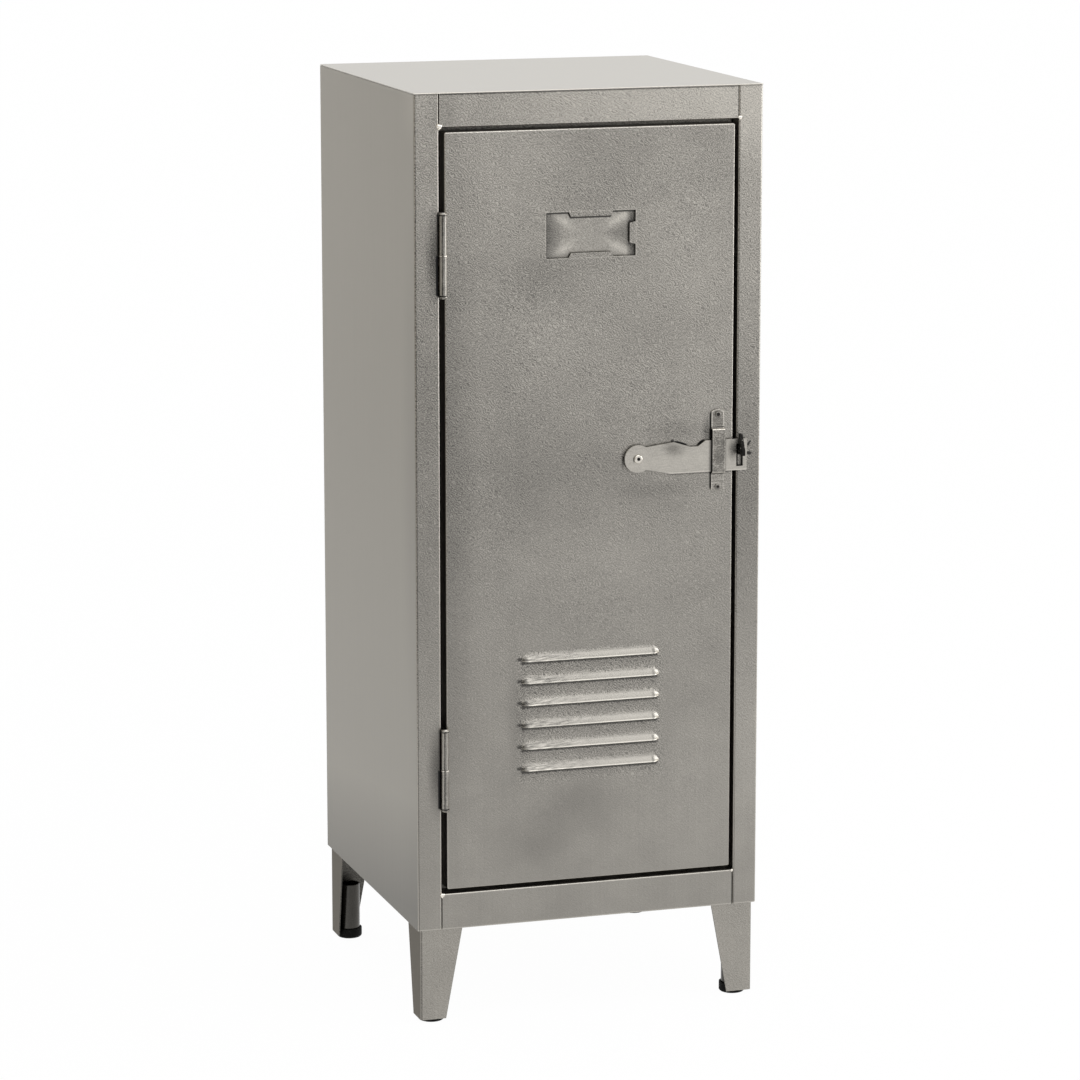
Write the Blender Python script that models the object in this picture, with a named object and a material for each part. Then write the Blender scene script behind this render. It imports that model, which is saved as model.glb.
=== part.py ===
"""Single-door sheet-steel locker on four tapered legs, built as separate folded, turned and stamped pieces.

Metres, +Z up. The front faces -Y and the door hinges on the left. The origin is on the floor, in the middle of
the outer box, which runs from the nose of the latch hook to the back of the shell.
"""

import math

import bmesh
import bpy
from mathutils import Vector
from mathutils.geometry import tessellate_polygon

MM = 0.001

# Shell
WIDTH = 350 * MM  # across the outer faces of the side panels
DEPTH = 340 * MM  # front of the frame to the back
HEIGHT = 910 * MM  # floor to the top panel
LEG_HEIGHT = 95 * MM  # floor to the lower edge of the shell
SHEET = 1.2 * MM  # steel of the shell, the door and the shelf
SEAM = 0.3 * MM  # gap left where two faces meet
BEND_INNER = 0.8 * MM  # inner radius of every fold
STILE = 24.5 * MM  # front upright folded from each side panel
RAIL_TOP = 33 * MM  # height of the top rail's face
RAIL_BOTTOM = 35.5 * MM  # height of the bottom rail's face
LIP = 10 * MM  # door stop turned into the opening
LID_ROUND = 0.7 * MM  # rounded upper edge of the top panel
BASE_REVEAL = 3 * MM  # lower edge of the floor's skirt above the shell's lower edge

# Door
DOOR_DEPTH = 18 * MM  # folded edge of the door
DOOR_LIP = 11 * MM  # return behind the folded edge
GAP_HINGE = 5.2 * MM  # between door and stile on the hinge side
GAP_LATCH = 3.6 * MM
GAP_TOP = 4.3 * MM
GAP_BOTTOM = 4.0 * MM
STOP_CLEARANCE = 1.0 * MM  # between the shut door and the rails' lips

# Card holder stamped in the door
CARD_WIDTH = 90 * MM
CARD_HEIGHT = 44 * MM
CARD_DROP = 102 * MM  # middle of the holder below the top of the door
CARD_TAB_LENGTH = 45 * MM  # upper and lower tabs
CARD_TAB_DEPTH = 4.6 * MM
CARD_TAB_SLOPE = 2.5 * MM  # each end of those tabs leans in by this much
CARD_STOP_LENGTH = 22 * MM  # tab at the latch end
CARD_STOP_DEPTH = 6 * MM
CARD_RECESS = 2.4 * MM  # depth of the dish behind the tabs
CARD_RIM = 5 * MM  # dish beyond the outline

# Louvres pressed in the door
LOUVRE_COUNT = 6
LOUVRE_PITCH = 21.8 * MM
LOUVRE_LENGTH = 142 * MM
LOUVRE_HEIGHT = 10 * MM
LOUVRE_REACH = 6 * MM  # lip in front of the door
LOUVRE_TAPER = 6 * MM  # each closed end slopes in by this much
LOUVRE_RISE = 113.7 * MM  # lowest lip above the bottom of the door

# Weld-on barrel hinges
HINGE_INSET_LOWER = 120.5 * MM  # middle of each hinge from the nearer end of the door
HINGE_INSET_UPPER = 116.5 * MM
KNUCKLE_LENGTH = 37 * MM
KNUCKLE_RADIUS = 3.7 * MM
PIN_RADIUS = 2.0 * MM
PIN_CLEARANCE = 0.1 * MM
PIN_ENTRY = 27 * MM  # length of the pin inside the door's knuckle
WASHER_THICKNESS = 1.2 * MM
CAP_RADIUS = 4.1 * MM
CAP_HEIGHT = 3 * MM
CAP_PLUG = 5 * MM  # length of the cap's plug inside the knuckle
LEAF_THICKNESS = 1.5 * MM
LEAF_REACH = 13 * MM  # behind the front face
LEAF_MARGIN = 3 * MM  # knuckle left bare at each end of its leaf
HINGE_CLEARANCE = 1.2 * MM  # barrel to the folded edges on both sides

# Lift latch
LATCH_RISE = 416.2 * MM  # pivot above the bottom of the door
PIVOT_INSET = 99 * MM  # pivot from the latch edge of the door
ARM_THICKNESS = 2.0 * MM
ARM_ABOVE = 14.6 * MM  # upper edge of the arm above the pivot
ARM_BELOW = 16.4 * MM  # lower edge of the arm below the pivot
ARM_DISC = 13.6 * MM  # radius of the round end
ARM_NECK = 0.5 * MM  # straight neck behind the round end
ARM_NECK_HALF = 11.0 * MM
ARM_SHOULDER = 34 * MM  # pivot to the widest place
ARM_END_BAR = 4 * MM  # metal past the slot
NOTCH_START = 36.5 * MM  # thumb notch in the upper edge, from the pivot
NOTCH_FLOOR_START = 53.5 * MM
NOTCH_FLOOR_END = 61.5 * MM
NOTCH_END = 69.5 * MM
NOTCH_DEPTH = 5.4 * MM
SLOT_WIDTH = 6.8 * MM
SLOT_ABOVE = 9.9 * MM  # ends of the slot above and below the pivot
SLOT_BELOW = 12.4 * MM
LATCH_LIFT_DEGREES = 6.0  # travel of the arm inside the keeper
PIVOT_RADIUS = 3.0 * MM
PIVOT_HEAD = 4.3 * MM
PIVOT_HEAD_HEIGHT = 1.7 * MM
PIVOT_WASHER_RADIUS = 8 * MM
PIVOT_WASHER_THICKNESS = 1.2 * MM
RIVET_CLEARANCE = 0.2 * MM  # holes around the rivets

# Keeper strap over the arm
KEEPER_INSET = 16.5 * MM  # middle of the strap from the latch edge of the door
KEEPER_WIDTH = 13 * MM
KEEPER_THICKNESS = 1.5 * MM
KEEPER_TAB = 18.7 * MM  # each flat end
KEEPER_RIVET_INSET = 5.2 * MM  # rivet from the tip of its tab
KEEPER_ROUND = 3 * MM  # crown of each rounded end
KEEPER_PLAY = 0.5 * MM  # around the arm
KEEPER_RIVET_RADIUS = 1.6 * MM
KEEPER_RIVET_HEAD = 2.9 * MM
KEEPER_RIVET_HEIGHT = 1.1 * MM

# Hook on the stile
HOOK_THICKNESS = 3 * MM
HOOK_INSET = 2.0 * MM  # middle of the hook from the stile's inner edge
HOOK_REACH = 16 * MM  # nose in front of the frame
HOOK_NECK = 9.7 * MM  # height of the hook inside the slot
HOOK_PLAY = 0.8 * MM  # around the arm
HOOK_TIP = 3 * MM  # flat top of the tip
HOOK_NOSE = 5 * MM  # height of the blunt nose
EYE_RADIUS = 3.0 * MM  # padlock hole
EYE_REACH = 10.6 * MM  # padlock hole in front of the frame
EYE_WALL = 2.4 * MM  # metal under the padlock hole

# Shelf and its runners
SHELF_RISE = 440 * MM  # shelf above the floor panel
SHELF_FRONT = 20 * MM  # folded front edge
SHELF_REAR = 12 * MM
SHELF_SETBACK = 6 * MM  # front edge behind the door stops
SHELF_SIDE_CLEARANCE = 1.0 * MM
RUNNER_LEG = 15 * MM

# Legs and feet
LEG_SHEET = 1.5 * MM
LEG_TOP_WIDTH = 43 * MM
LEG_FOOT_WIDTH = 26 * MM
LEG_FLOOR_GAP = 3.6 * MM  # lower edge of the leg above the floor
LEG_HEADROOM = 9 * MM  # top of the leg under the floor panel
LEG_RELIEF = 1.0 * MM  # notch in the floor panel's skirt around each front leg
TIP_RADIUS = 13 * MM  # rubber tip
TIP_HEIGHT = 10 * MM
TIP_SOLE = 3 * MM
TIP_CHAMFER = 1.5 * MM
TIP_CLEARANCE = 0.4 * MM  # rubber tip to the leg
TUBE_RADIUS = 11 * MM
TUBE_WALL = 1.5 * MM
TUBE_TOP = 57 * MM  # top of the tube above the floor
TUBE_WELD_WIDTH = 3 * MM
TUBE_WELD_MARGIN = 5 * MM  # weld stops short of the rubber and of the tube's end

# Facets
BEND_STEPS = 3
ROUND_STEPS = 24
SMALL_STEPS = 16
SMOOTH_ANGLE = math.radians(35)
CUT = 2 * MM  # how far a cutter runs past what it cuts

# Places that follow from the sizes
BEND = BEND_INNER + SHEET
FRONT = (HOOK_REACH - DEPTH) / 2
BACK = FRONT + DEPTH
SIDE = WIDTH / 2
BASE = LEG_HEIGHT
TOP = HEIGHT
OPENING = SIDE - STILE
SILL = BASE + RAIL_BOTTOM
HEAD = TOP - RAIL_TOP
UNDER_LID = TOP - SHEET - SEAM
BACK_PANEL_FRONT = BACK - SHEET
TRAY_REAR = BACK_PANEL_FRONT - SEAM
TRAY_SIDE = SIDE - SHEET - SEAM
RAIL_STOP = FRONT + DOOR_DEPTH + STOP_CLEARANCE
STILE_STOP = RAIL_STOP + SHEET + SEAM
BEHIND_STOPS = STILE_STOP + SHEET + SEAM
DOOR_LEFT = -OPENING + GAP_HINGE
DOOR_RIGHT = OPENING - GAP_LATCH
DOOR_BOTTOM = SILL + GAP_BOTTOM
DOOR_TOP = HEAD - GAP_TOP
DOOR_BACK = FRONT + SHEET
HINGE_X = -OPENING + GAP_HINGE / 2
HINGE_PROUD = (
    math.sqrt((KNUCKLE_RADIUS + BEND + HINGE_CLEARANCE) ** 2 - (GAP_HINGE / 2 + BEND) ** 2) - BEND
)
HINGE_Y = FRONT - HINGE_PROUD
HINGE_LEVELS = {"lower": DOOR_BOTTOM + HINGE_INSET_LOWER, "upper": DOOR_TOP - HINGE_INSET_UPPER}
PIVOT_X = DOOR_RIGHT - PIVOT_INSET
PIVOT_Z = DOOR_BOTTOM + LATCH_RISE
ARM_BACK = FRONT - PIVOT_WASHER_THICKNESS - 2 * SEAM
ARM_FRONT = ARM_BACK - ARM_THICKNESS
HOOK_X = OPENING + HOOK_INSET
KEEPER_X = DOOR_RIGHT - KEEPER_INSET
LATCH_LIFT = math.radians(LATCH_LIFT_DEGREES)
SHELF_TOP = SILL + SHELF_RISE
LEG_INSET = 2 * (SHEET + SEAM)
LEG_TOP = SILL - SHEET - LEG_HEADROOM
FOOT_OFFSET = LEG_SHEET + TIP_CLEARANCE + TIP_RADIUS


def clear_scene():
    for obj in list(bpy.data.objects):
        bpy.data.objects.remove(obj, do_unlink=True)


def steel_like(name, colour, roughness, metallic):
    material = bpy.data.materials.new(name)
    material.use_nodes = True
    shader = material.node_tree.nodes["Principled BSDF"]
    shader.inputs["Base Color"].default_value = (*colour, 1.0)
    shader.inputs["Roughness"].default_value = roughness
    shader.inputs["Metallic"].default_value = metallic
    return material


def add_mesh(name, points, faces, material, smooth=True):
    """An object from points and faces, its normals turned outwards."""
    mesh = bpy.data.meshes.new(name)
    shape = bmesh.new()
    corners = [shape.verts.new(point) for point in points]
    for face in faces:
        shape.faces.new([corners[index] for index in face])
    bmesh.ops.recalc_face_normals(shape, faces=shape.faces)
    shape.to_mesh(mesh)
    shape.free()
    if smooth:
        mesh.shade_smooth()
        mesh.set_sharp_from_angle(angle=SMOOTH_ANGLE)
    mesh.materials.append(material)
    obj = bpy.data.objects.new(name, mesh)
    bpy.context.scene.collection.objects.link(obj)
    return obj


def on_axis(axis, along, u, v):
    """The point at (u, v) across an axis and at along on it: Z takes (x, y), Y takes (x, z), X takes (y, z)."""
    return {"X": (along, u, v), "Y": (u, along, v), "Z": (u, v, along)}[axis]


def prism(name, outline, axis, low, high, material, holes=(), smooth=True):
    """A closed outline, with any holes through it, drawn out along an axis."""
    loops = [list(outline), *[list(hole) for hole in holes]]
    count = sum(len(loop) for loop in loops)
    points = [on_axis(axis, level, u, v) for level in (low, high) for loop in loops for u, v in loop]
    flat = [[Vector((u, v, 0)) for u, v in loop] for loop in loops]
    faces = []
    for triangle in tessellate_polygon(flat):
        faces.append(tuple(triangle))
        faces.append(tuple(index + count for index in reversed(triangle)))
    start = 0
    for loop in loops:
        size = len(loop)
        for i in range(size):
            a, b = start + i, start + (i + 1) % size
            faces.append((a, b, b + count, a + count))
        start += size
    return add_mesh(name, points, faces, material, smooth)


def loft(name, sections, material, smooth=True):
    """A skin over closed sections of equal length, with both ends filled."""
    size = len(sections[0])
    points = [point for section in sections for point in section]
    faces = [tuple(range(size)), tuple(range(len(points) - size, len(points)))]
    for row in range(len(sections) - 1):
        for i in range(size):
            a, b = row * size + i, row * size + (i + 1) % size
            faces.append((a, b, b + size, a + size))
    return add_mesh(name, points, faces, material, smooth)


def turned(name, profile, axis, centre, material, steps=ROUND_STEPS):
    """A solid turned on an axis. The profile lists (radius, along) from one end to the other, on the axis at both."""
    rings = [(radius, along) for radius, along in profile if radius > 0]
    points = [on_axis(axis, profile[0][1], *centre)]
    for radius, along in rings:
        for u, v in circle(centre, radius, steps):
            points.append(on_axis(axis, along, u, v))
    points.append(on_axis(axis, profile[-1][1], *centre))
    last = len(points) - 1
    faces = []
    for i in range(steps):
        j = (i + 1) % steps
        faces.append((0, 1 + i, 1 + j))
        faces.append((last, last - steps + j, last - steps + i))
        for row in range(len(rings) - 1):
            a, b = 1 + row * steps + i, 1 + row * steps + j
            faces.append((a, b, b + steps, a + steps))
    return add_mesh(name, points, faces, material)


def circle(centre, radius, steps, start=0.0, sweep=2 * math.pi, closed=True):
    """Points round an arc; a whole circle leaves out the repeated end."""
    stops = steps if closed else steps + 1
    return [
        (
            centre[0] + radius * math.cos(start + sweep * i / steps),
            centre[1] + radius * math.sin(start + sweep * i / steps),
        )
        for i in range(stops)
    ]


def folded(path, thickness, inner_radius=BEND_INNER):
    """Outline of a folded sheet: one face follows the path, and the metal lies on the left of the way along it."""
    walk = [Vector(point) for point in path]
    near, far = [], []
    for i, corner in enumerate(walk):
        ahead = (walk[i + 1] - corner).normalized() if i + 1 < len(walk) else None
        behind = (corner - walk[i - 1]).normalized() if i > 0 else None
        way = behind or ahead
        left = Vector((-way.y, way.x))
        if ahead is None or behind is None:
            near.append(corner)
            far.append(corner + left * thickness)
            continue
        turn = behind.angle_signed(ahead) * -1
        side = 1 if turn > 0 else -1
        radius = inner_radius + (thickness if side > 0 else 0)
        other = inner_radius + (0 if side > 0 else thickness)
        middle = corner - behind * radius * math.tan(abs(turn) / 2) + left * side * radius
        first = math.atan2(-left.y * side, -left.x * side)
        near += [Vector(p) for p in circle(middle, radius, BEND_STEPS, first, turn, closed=False)]
        far += [Vector(p) for p in circle(middle, other, BEND_STEPS, first, turn, closed=False)]
    return [tuple(point) for point in near + far[::-1]]


def rectangle(low, high, inset):
    """Corners of a rectangle drawn in by inset."""
    return [
        (low[0] + inset, low[1] + inset),
        (high[0] - inset, low[1] + inset),
        (high[0] - inset, high[1] - inset),
        (low[0] + inset, high[1] - inset),
    ]


def tray(name, low, high, axis, face, inward, depth, material, lip=0.0):
    """A sheet with all four edges folded back by depth, and turned in again by lip where there is one."""
    rings = [(SHEET, SHEET)]
    if lip:
        rings += [(SHEET, depth - SHEET), (lip, depth - SHEET), (lip, depth)]
    else:
        rings += [(SHEET, depth)]
    rings += [(0.0, depth)]
    for step in range(BEND_STEPS + 1):
        angle = math.pi / 2 * step / BEND_STEPS
        rings.append((BEND * (1 - math.cos(angle)), BEND * (1 - math.sin(angle))))
    sections = [
        [on_axis(axis, face + inward * behind, u, v) for u, v in rectangle(low, high, inset)]
        for inset, behind in rings
    ]
    return loft(name, sections, material)


def hull(name, groups, material):
    """One mesh holding the convex hull of each group of points."""
    mesh = bpy.data.meshes.new(name)
    shape = bmesh.new()
    for group in groups:
        corners = [shape.verts.new(point) for point in group]
        bmesh.ops.convex_hull(shape, input=corners)
    bmesh.ops.recalc_face_normals(shape, faces=shape.faces)
    shape.to_mesh(mesh)
    shape.free()
    mesh.materials.append(material)
    obj = bpy.data.objects.new(name, mesh)
    bpy.context.scene.collection.objects.link(obj)
    return obj


def combine(target, tool, operation):
    """Joins or cuts target with tool, which is then only a helper."""
    modifier = target.modifiers.new(f"{operation.lower()} {tool.name}", "BOOLEAN")
    modifier.operation = operation
    modifier.solver = "EXACT"
    modifier.object = tool
    tool.parent = target
    tool.hide_render = True
    tool.display_type = "WIRE"


def carry(name, place, pieces, carrier=None):
    """An empty on a joint's axis, with the pieces that turn about it; carrier is the empty that carries this one."""
    axis = bpy.data.objects.new(name, None)
    bpy.context.scene.collection.objects.link(axis)
    axis.location = Vector(place) - (carrier.location if carrier else Vector())
    axis.parent = carrier
    for piece in pieces:
        piece.parent = axis
        piece.location = -Vector(place)
    return axis


def box(name, low, high, material):
    return prism(name, rectangle(low[:2], high[:2], 0.0), "Z", low[2], high[2], material, smooth=False)


def mirror_x(points):
    return [(-x, y) for x, y in points]


def side_panel(name, sign, steel):
    """Side sheet with its front stile; the return and the door stop run along the opening."""
    path = [
        (-SIDE, BACK),
        (-SIDE, FRONT),
        (-OPENING, FRONT),
        (-OPENING, STILE_STOP),
        (-OPENING + LIP, STILE_STOP),
    ]
    outline = folded(path, SHEET)
    panel = prism(name, outline if sign < 0 else mirror_x(outline), "Z", BASE, UNDER_LID, steel)
    across = sorted((sign * (OPENING + SHEET + CUT), sign * (OPENING - LIP - CUT)))
    spans = {"head": (HEAD + SHEET, TOP + CUT), "foot": (BASE - CUT, SILL - SHEET)}
    for end, (low, high) in spans.items():
        notch = box(
            f"{name}_{end}_notch",
            (across[0], FRONT + BEND, low),
            (across[1], STILE_STOP + SHEET + CUT, high),
            steel,
        )
        combine(panel, notch, "DIFFERENCE")


def rails(steel):
    """Rails welded between the stiles, each with a return and a door stop."""
    ends = (-OPENING + SEAM, OPENING - SEAM)
    top_path = [(FRONT, UNDER_LID), (FRONT, HEAD), (RAIL_STOP, HEAD), (RAIL_STOP, HEAD - LIP)]
    prism("top_rail", folded(top_path, SHEET), "X", *ends, steel)
    bottom_path = [(RAIL_STOP, SILL + LIP), (RAIL_STOP, SILL), (FRONT, SILL), (FRONT, BASE)]
    prism("bottom_rail", folded(bottom_path, SHEET), "X", *ends, steel)


def lid(steel):
    """Flat top panel over the whole shell, its upper edge rounded."""
    rings = [(0.0, TOP - SHEET), (0.0, TOP - LID_ROUND)]
    for step in range(1, BEND_STEPS + 1):
        angle = math.pi / 2 * step / BEND_STEPS
        rings.append((LID_ROUND * (1 - math.cos(angle)), TOP - LID_ROUND * (1 - math.sin(angle))))
    sections = [
        [(x, y, level) for x, y in rectangle((-SIDE, FRONT), (SIDE, BACK), inset)] for inset, level in rings
    ]
    loft("top_panel", sections, steel)


def shell(steel):
    side_panel("left_side_panel", -1, steel)
    side_panel("right_side_panel", 1, steel)
    rails(steel)
    lid(steel)
    floor = tray(
        "floor_panel",
        (-TRAY_SIDE, BEHIND_STOPS),
        (TRAY_SIDE, TRAY_REAR),
        "Z",
        SILL,
        -1,
        RAIL_BOTTOM - BASE_REVEAL,
        steel,
    )
    for side_name, sign in (("left", -1), ("right", 1)):
        across = sorted((sign * (SIDE - LEG_INSET - LEG_SHEET - LEG_RELIEF), sign * (SIDE + CUT)))
        relief = box(
            f"floor_{side_name}_relief",
            (across[0], BEHIND_STOPS - CUT, BASE - CUT),
            (across[1], BEHIND_STOPS + SHEET + LEG_RELIEF, LEG_TOP + LEG_RELIEF),
            steel,
        )
        combine(floor, relief, "DIFFERENCE")
    box("back_panel", (-TRAY_SIDE, BACK_PANEL_FRONT, BASE), (TRAY_SIDE, BACK, UNDER_LID), steel)


def shelf(steel):
    front = BEHIND_STOPS + SHELF_SETBACK
    path = [
        (front, SHELF_TOP - SHELF_FRONT),
        (front, SHELF_TOP),
        (TRAY_REAR, SHELF_TOP),
        (TRAY_REAR, SHELF_TOP - SHELF_REAR),
    ]
    half = TRAY_SIDE - SHELF_SIDE_CLEARANCE
    prism("shelf", folded(path[::-1], SHEET), "X", -half, half, steel)
    under = SHELF_TOP - SHEET - SEAM
    outline = folded(
        [(-TRAY_SIDE, under - RUNNER_LEG), (-TRAY_SIDE, under), (-TRAY_SIDE + RUNNER_LEG, under)][::-1], SHEET
    )
    ends = (front + SHELF_SETBACK, TRAY_REAR - SHELF_SETBACK)
    prism("shelf_runner_left", outline, "Y", *ends, steel)
    prism("shelf_runner_right", mirror_x(outline), "Y", *ends, steel)


def corner_loop(outline, sign_x, sign_y):
    """An outline drawn for the front left corner, moved to the corner that the signs name."""
    x = -SIDE + LEG_INSET
    y = FRONT + LEG_INSET if sign_y < 0 else BACK - LEG_INSET
    return [(-sign_x * (x + u), y - sign_y * v) for u, v in outline]


def leg(corner, sign_x, sign_y, steel, tube_steel, rubber):
    """Tapered angle leg, with the tube stub welded into it and the rubber tip under the tube."""
    sections = []
    for level, width in (
        (LEG_FLOOR_GAP, LEG_FOOT_WIDTH),
        (BASE, LEG_TOP_WIDTH),
        (LEG_TOP, LEG_TOP_WIDTH),
    ):
        outline = folded([(0, width), (0, 0), (width, 0)], LEG_SHEET)
        sections.append([(x, y, level) for x, y in corner_loop(outline, sign_x, sign_y)])
    loft(f"leg_{corner}", sections, steel)

    (centre,) = corner_loop([(FOOT_OFFSET, FOOT_OFFSET)], sign_x, sign_y)
    bore = TUBE_RADIUS + SEAM
    turned(
        f"rubber_tip_{corner}",
        [
            (0, 0),
            (TIP_RADIUS - TIP_CHAMFER, 0),
            (TIP_RADIUS, TIP_CHAMFER),
            (TIP_RADIUS, TIP_HEIGHT),
            (bore, TIP_HEIGHT),
            (bore, TIP_SOLE),
            (0, TIP_SOLE),
        ],
        "Z",
        centre,
        rubber,
    )
    tube = prism(
        f"foot_tube_{corner}",
        circle(centre, TUBE_RADIUS, ROUND_STEPS),
        "Z",
        TIP_SOLE + SEAM,
        TUBE_TOP,
        tube_steel,
        holes=[circle(centre, TUBE_RADIUS - TUBE_WALL, ROUND_STEPS)],
    )
    near = LEG_SHEET + SEAM
    far = FOOT_OFFSET - TUBE_RADIUS + TUBE_WALL / 2
    half = TUBE_WELD_WIDTH / 2
    welds = {
        "side": ((near, FOOT_OFFSET - half), (far, FOOT_OFFSET + half)),
        "face": ((FOOT_OFFSET - half, near), (FOOT_OFFSET + half, far)),
    }
    for place, (low, high) in welds.items():
        weld = prism(
            f"{corner}_{place}_weld",
            corner_loop(rectangle(low, high, 0.0), sign_x, sign_y),
            "Z",
            TIP_HEIGHT + TUBE_WELD_MARGIN,
            TUBE_TOP - TUBE_WELD_MARGIN,
            tube_steel,
        )
        combine(tube, weld, "UNION")


def card_outline():
    """Outline of the card holder's window, with its three tabs, about its middle."""
    w, h = CARD_WIDTH / 2, CARD_HEIGHT / 2
    tab, slope, stop = CARD_TAB_LENGTH / 2, CARD_TAB_SLOPE, CARD_STOP_LENGTH / 2
    lower = [(-tab, -h), (-tab + slope, -h + CARD_TAB_DEPTH), (tab - slope, -h + CARD_TAB_DEPTH), (tab, -h)]
    upper = [(x, -z) for x, z in reversed(lower)]
    right = [(w, -stop), (w - CARD_STOP_DEPTH, -stop), (w - CARD_STOP_DEPTH, stop), (w, stop)]
    return [(-w, -h), *lower, (w, -h), *right, (w, h), *upper, (-w, h)]


def card_dish(centre, steel):
    """Dish behind the window, joined to the back of the door's face."""
    low = (centre[0] - CARD_WIDTH / 2 - CARD_RIM, centre[1] - CARD_HEIGHT / 2 - CARD_RIM)
    high = (centre[0] + CARD_WIDTH / 2 + CARD_RIM, centre[1] + CARD_HEIGHT / 2 + CARD_RIM)
    floor = DOOR_BACK + CARD_RECESS
    rings = [
        (CARD_RIM, floor),
        (SHEET, DOOR_BACK - SHEET / 2),
        (0.0, DOOR_BACK - SHEET / 2),
        (0.0, DOOR_BACK),
        (CARD_RIM - SHEET, floor + SHEET),
    ]
    sections = [[(x, y, z) for x, z in rectangle(low, high, inset)] for inset, y in rings]
    return loft("card_dish", sections, steel)


def louvre_points(lip_level, shrink):
    """Corners of a louvre's hood, or of the hollow inside it where shrink is the metal's thickness."""
    half = LOUVRE_LENGTH / 2 - shrink
    front = FRONT - LOUVRE_REACH + shrink
    middle = (DOOR_LEFT + DOOR_RIGHT) / 2
    back = FRONT + SHEET / 2 if not shrink else DOOR_BACK + CUT
    points = []
    for sign in (-1, 1):
        end = middle + sign * half
        lip = middle + sign * (half - LOUVRE_TAPER)
        points += [(end, back, lip_level), (end, back, lip_level + LOUVRE_HEIGHT - shrink)]
        points.append((lip, front, lip_level))
        if shrink:
            points.append((end, FRONT, lip_level))
            points.append((end, FRONT, lip_level + LOUVRE_HEIGHT - 2 * shrink))
    return points


def louvre_mouth(lip_level):
    """Corners of the cut that opens the hollow downwards."""
    half = LOUVRE_LENGTH / 2 - SHEET - LOUVRE_TAPER
    middle = (DOOR_LEFT + DOOR_RIGHT) / 2
    front = FRONT - LOUVRE_REACH + SHEET
    return [
        (middle + sign * half, y, lip_level + rise)
        for sign in (-1, 1)
        for y in (front, FRONT - SEAM)
        for rise in (-CUT, SHEET)
    ]


def rivet_hole(name, x, z, radius, steel):
    return prism(
        name, circle((x, z), radius, SMALL_STEPS), "Y", FRONT - CUT, DOOR_BACK + CUT, steel, smooth=False
    )


def keeper_rivets():
    """Heights of the two rivets of the keeper strap."""
    low, high = keeper_span()
    reach = KEEPER_TAB - KEEPER_RIVET_INSET
    return {"lower": low - reach, "upper": high + reach}


def door_skin(steel):
    """Door pan with its card holder, louvres and rivet holes."""
    skin = tray(
        "door_skin",
        (DOOR_LEFT, DOOR_BOTTOM),
        (DOOR_RIGHT, DOOR_TOP),
        "Y",
        FRONT,
        1,
        DOOR_DEPTH,
        steel,
        lip=DOOR_LIP,
    )
    lips = [DOOR_BOTTOM + LOUVRE_RISE + i * LOUVRE_PITCH for i in range(LOUVRE_COUNT)]
    combine(skin, hull("louvre_hoods", [louvre_points(lip, 0.0) for lip in lips], steel), "UNION")
    combine(skin, hull("louvre_hollows", [louvre_points(lip, SHEET) for lip in lips], steel), "DIFFERENCE")
    combine(skin, hull("louvre_mouths", [louvre_mouth(lip) for lip in lips], steel), "DIFFERENCE")

    card = ((DOOR_LEFT + DOOR_RIGHT) / 2, DOOR_TOP - CARD_DROP)
    window = prism(
        "card_window",
        [(card[0] + x, card[1] + z) for x, z in card_outline()],
        "Y",
        FRONT - CUT,
        DOOR_BACK + SEAM,
        steel,
        smooth=False,
    )
    combine(skin, window, "DIFFERENCE")
    combine(skin, card_dish(card, steel), "UNION")
    pivot = rivet_hole("pivot_hole", PIVOT_X, PIVOT_Z, PIVOT_RADIUS + RIVET_CLEARANCE, steel)
    combine(skin, pivot, "DIFFERENCE")
    for place, level in keeper_rivets().items():
        hole = rivet_hole(
            f"door_{place}_hole", KEEPER_X, level, KEEPER_RIVET_RADIUS + RIVET_CLEARANCE, steel
        )
        combine(skin, hole, "DIFFERENCE")
    return skin


def knuckle(name, low, high, leaf_side, steel):
    """Hinge barrel with a leaf in the gap: leaf_side is -1 against the stile and 1 against the door."""
    outer = leaf_side * (GAP_HINGE / 2 - SEAM)
    inner = outer - leaf_side * LEAF_THICKNESS
    reach = FRONT + LEAF_REACH - HINGE_Y
    starts = {x: math.atan2(math.sqrt(KNUCKLE_RADIUS**2 - x**2), x) for x in (outer, inner)}
    right, left = (outer, inner) if leaf_side > 0 else (inner, outer)
    sweep = 2 * math.pi - (starts[left] - starts[right])
    barrel = circle((0, 0), KNUCKLE_RADIUS, ROUND_STEPS, starts[left], sweep, closed=False)
    with_leaf = [*barrel, (right, reach), (left, reach)]

    def placed(points):
        return [(HINGE_X + x, HINGE_Y + y) for x, y in points]

    bore = placed(circle((0, 0), PIN_RADIUS + PIN_CLEARANCE, ROUND_STEPS))
    body = prism(name, placed(with_leaf), "Z", low, high, steel, holes=[bore])
    for end, (start, stop) in {
        "foot": (low - CUT, low + LEAF_MARGIN),
        "head": (high - LEAF_MARGIN, high + CUT),
    }.items():
        trim = box(
            f"{name}_{end}_trim",
            (HINGE_X + left - CUT, HINGE_Y + KNUCKLE_RADIUS + SEAM, start),
            (HINGE_X + right + CUT, HINGE_Y + reach + CUT, stop),
            steel,
        )
        combine(body, trim, "DIFFERENCE")
    return body


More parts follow.
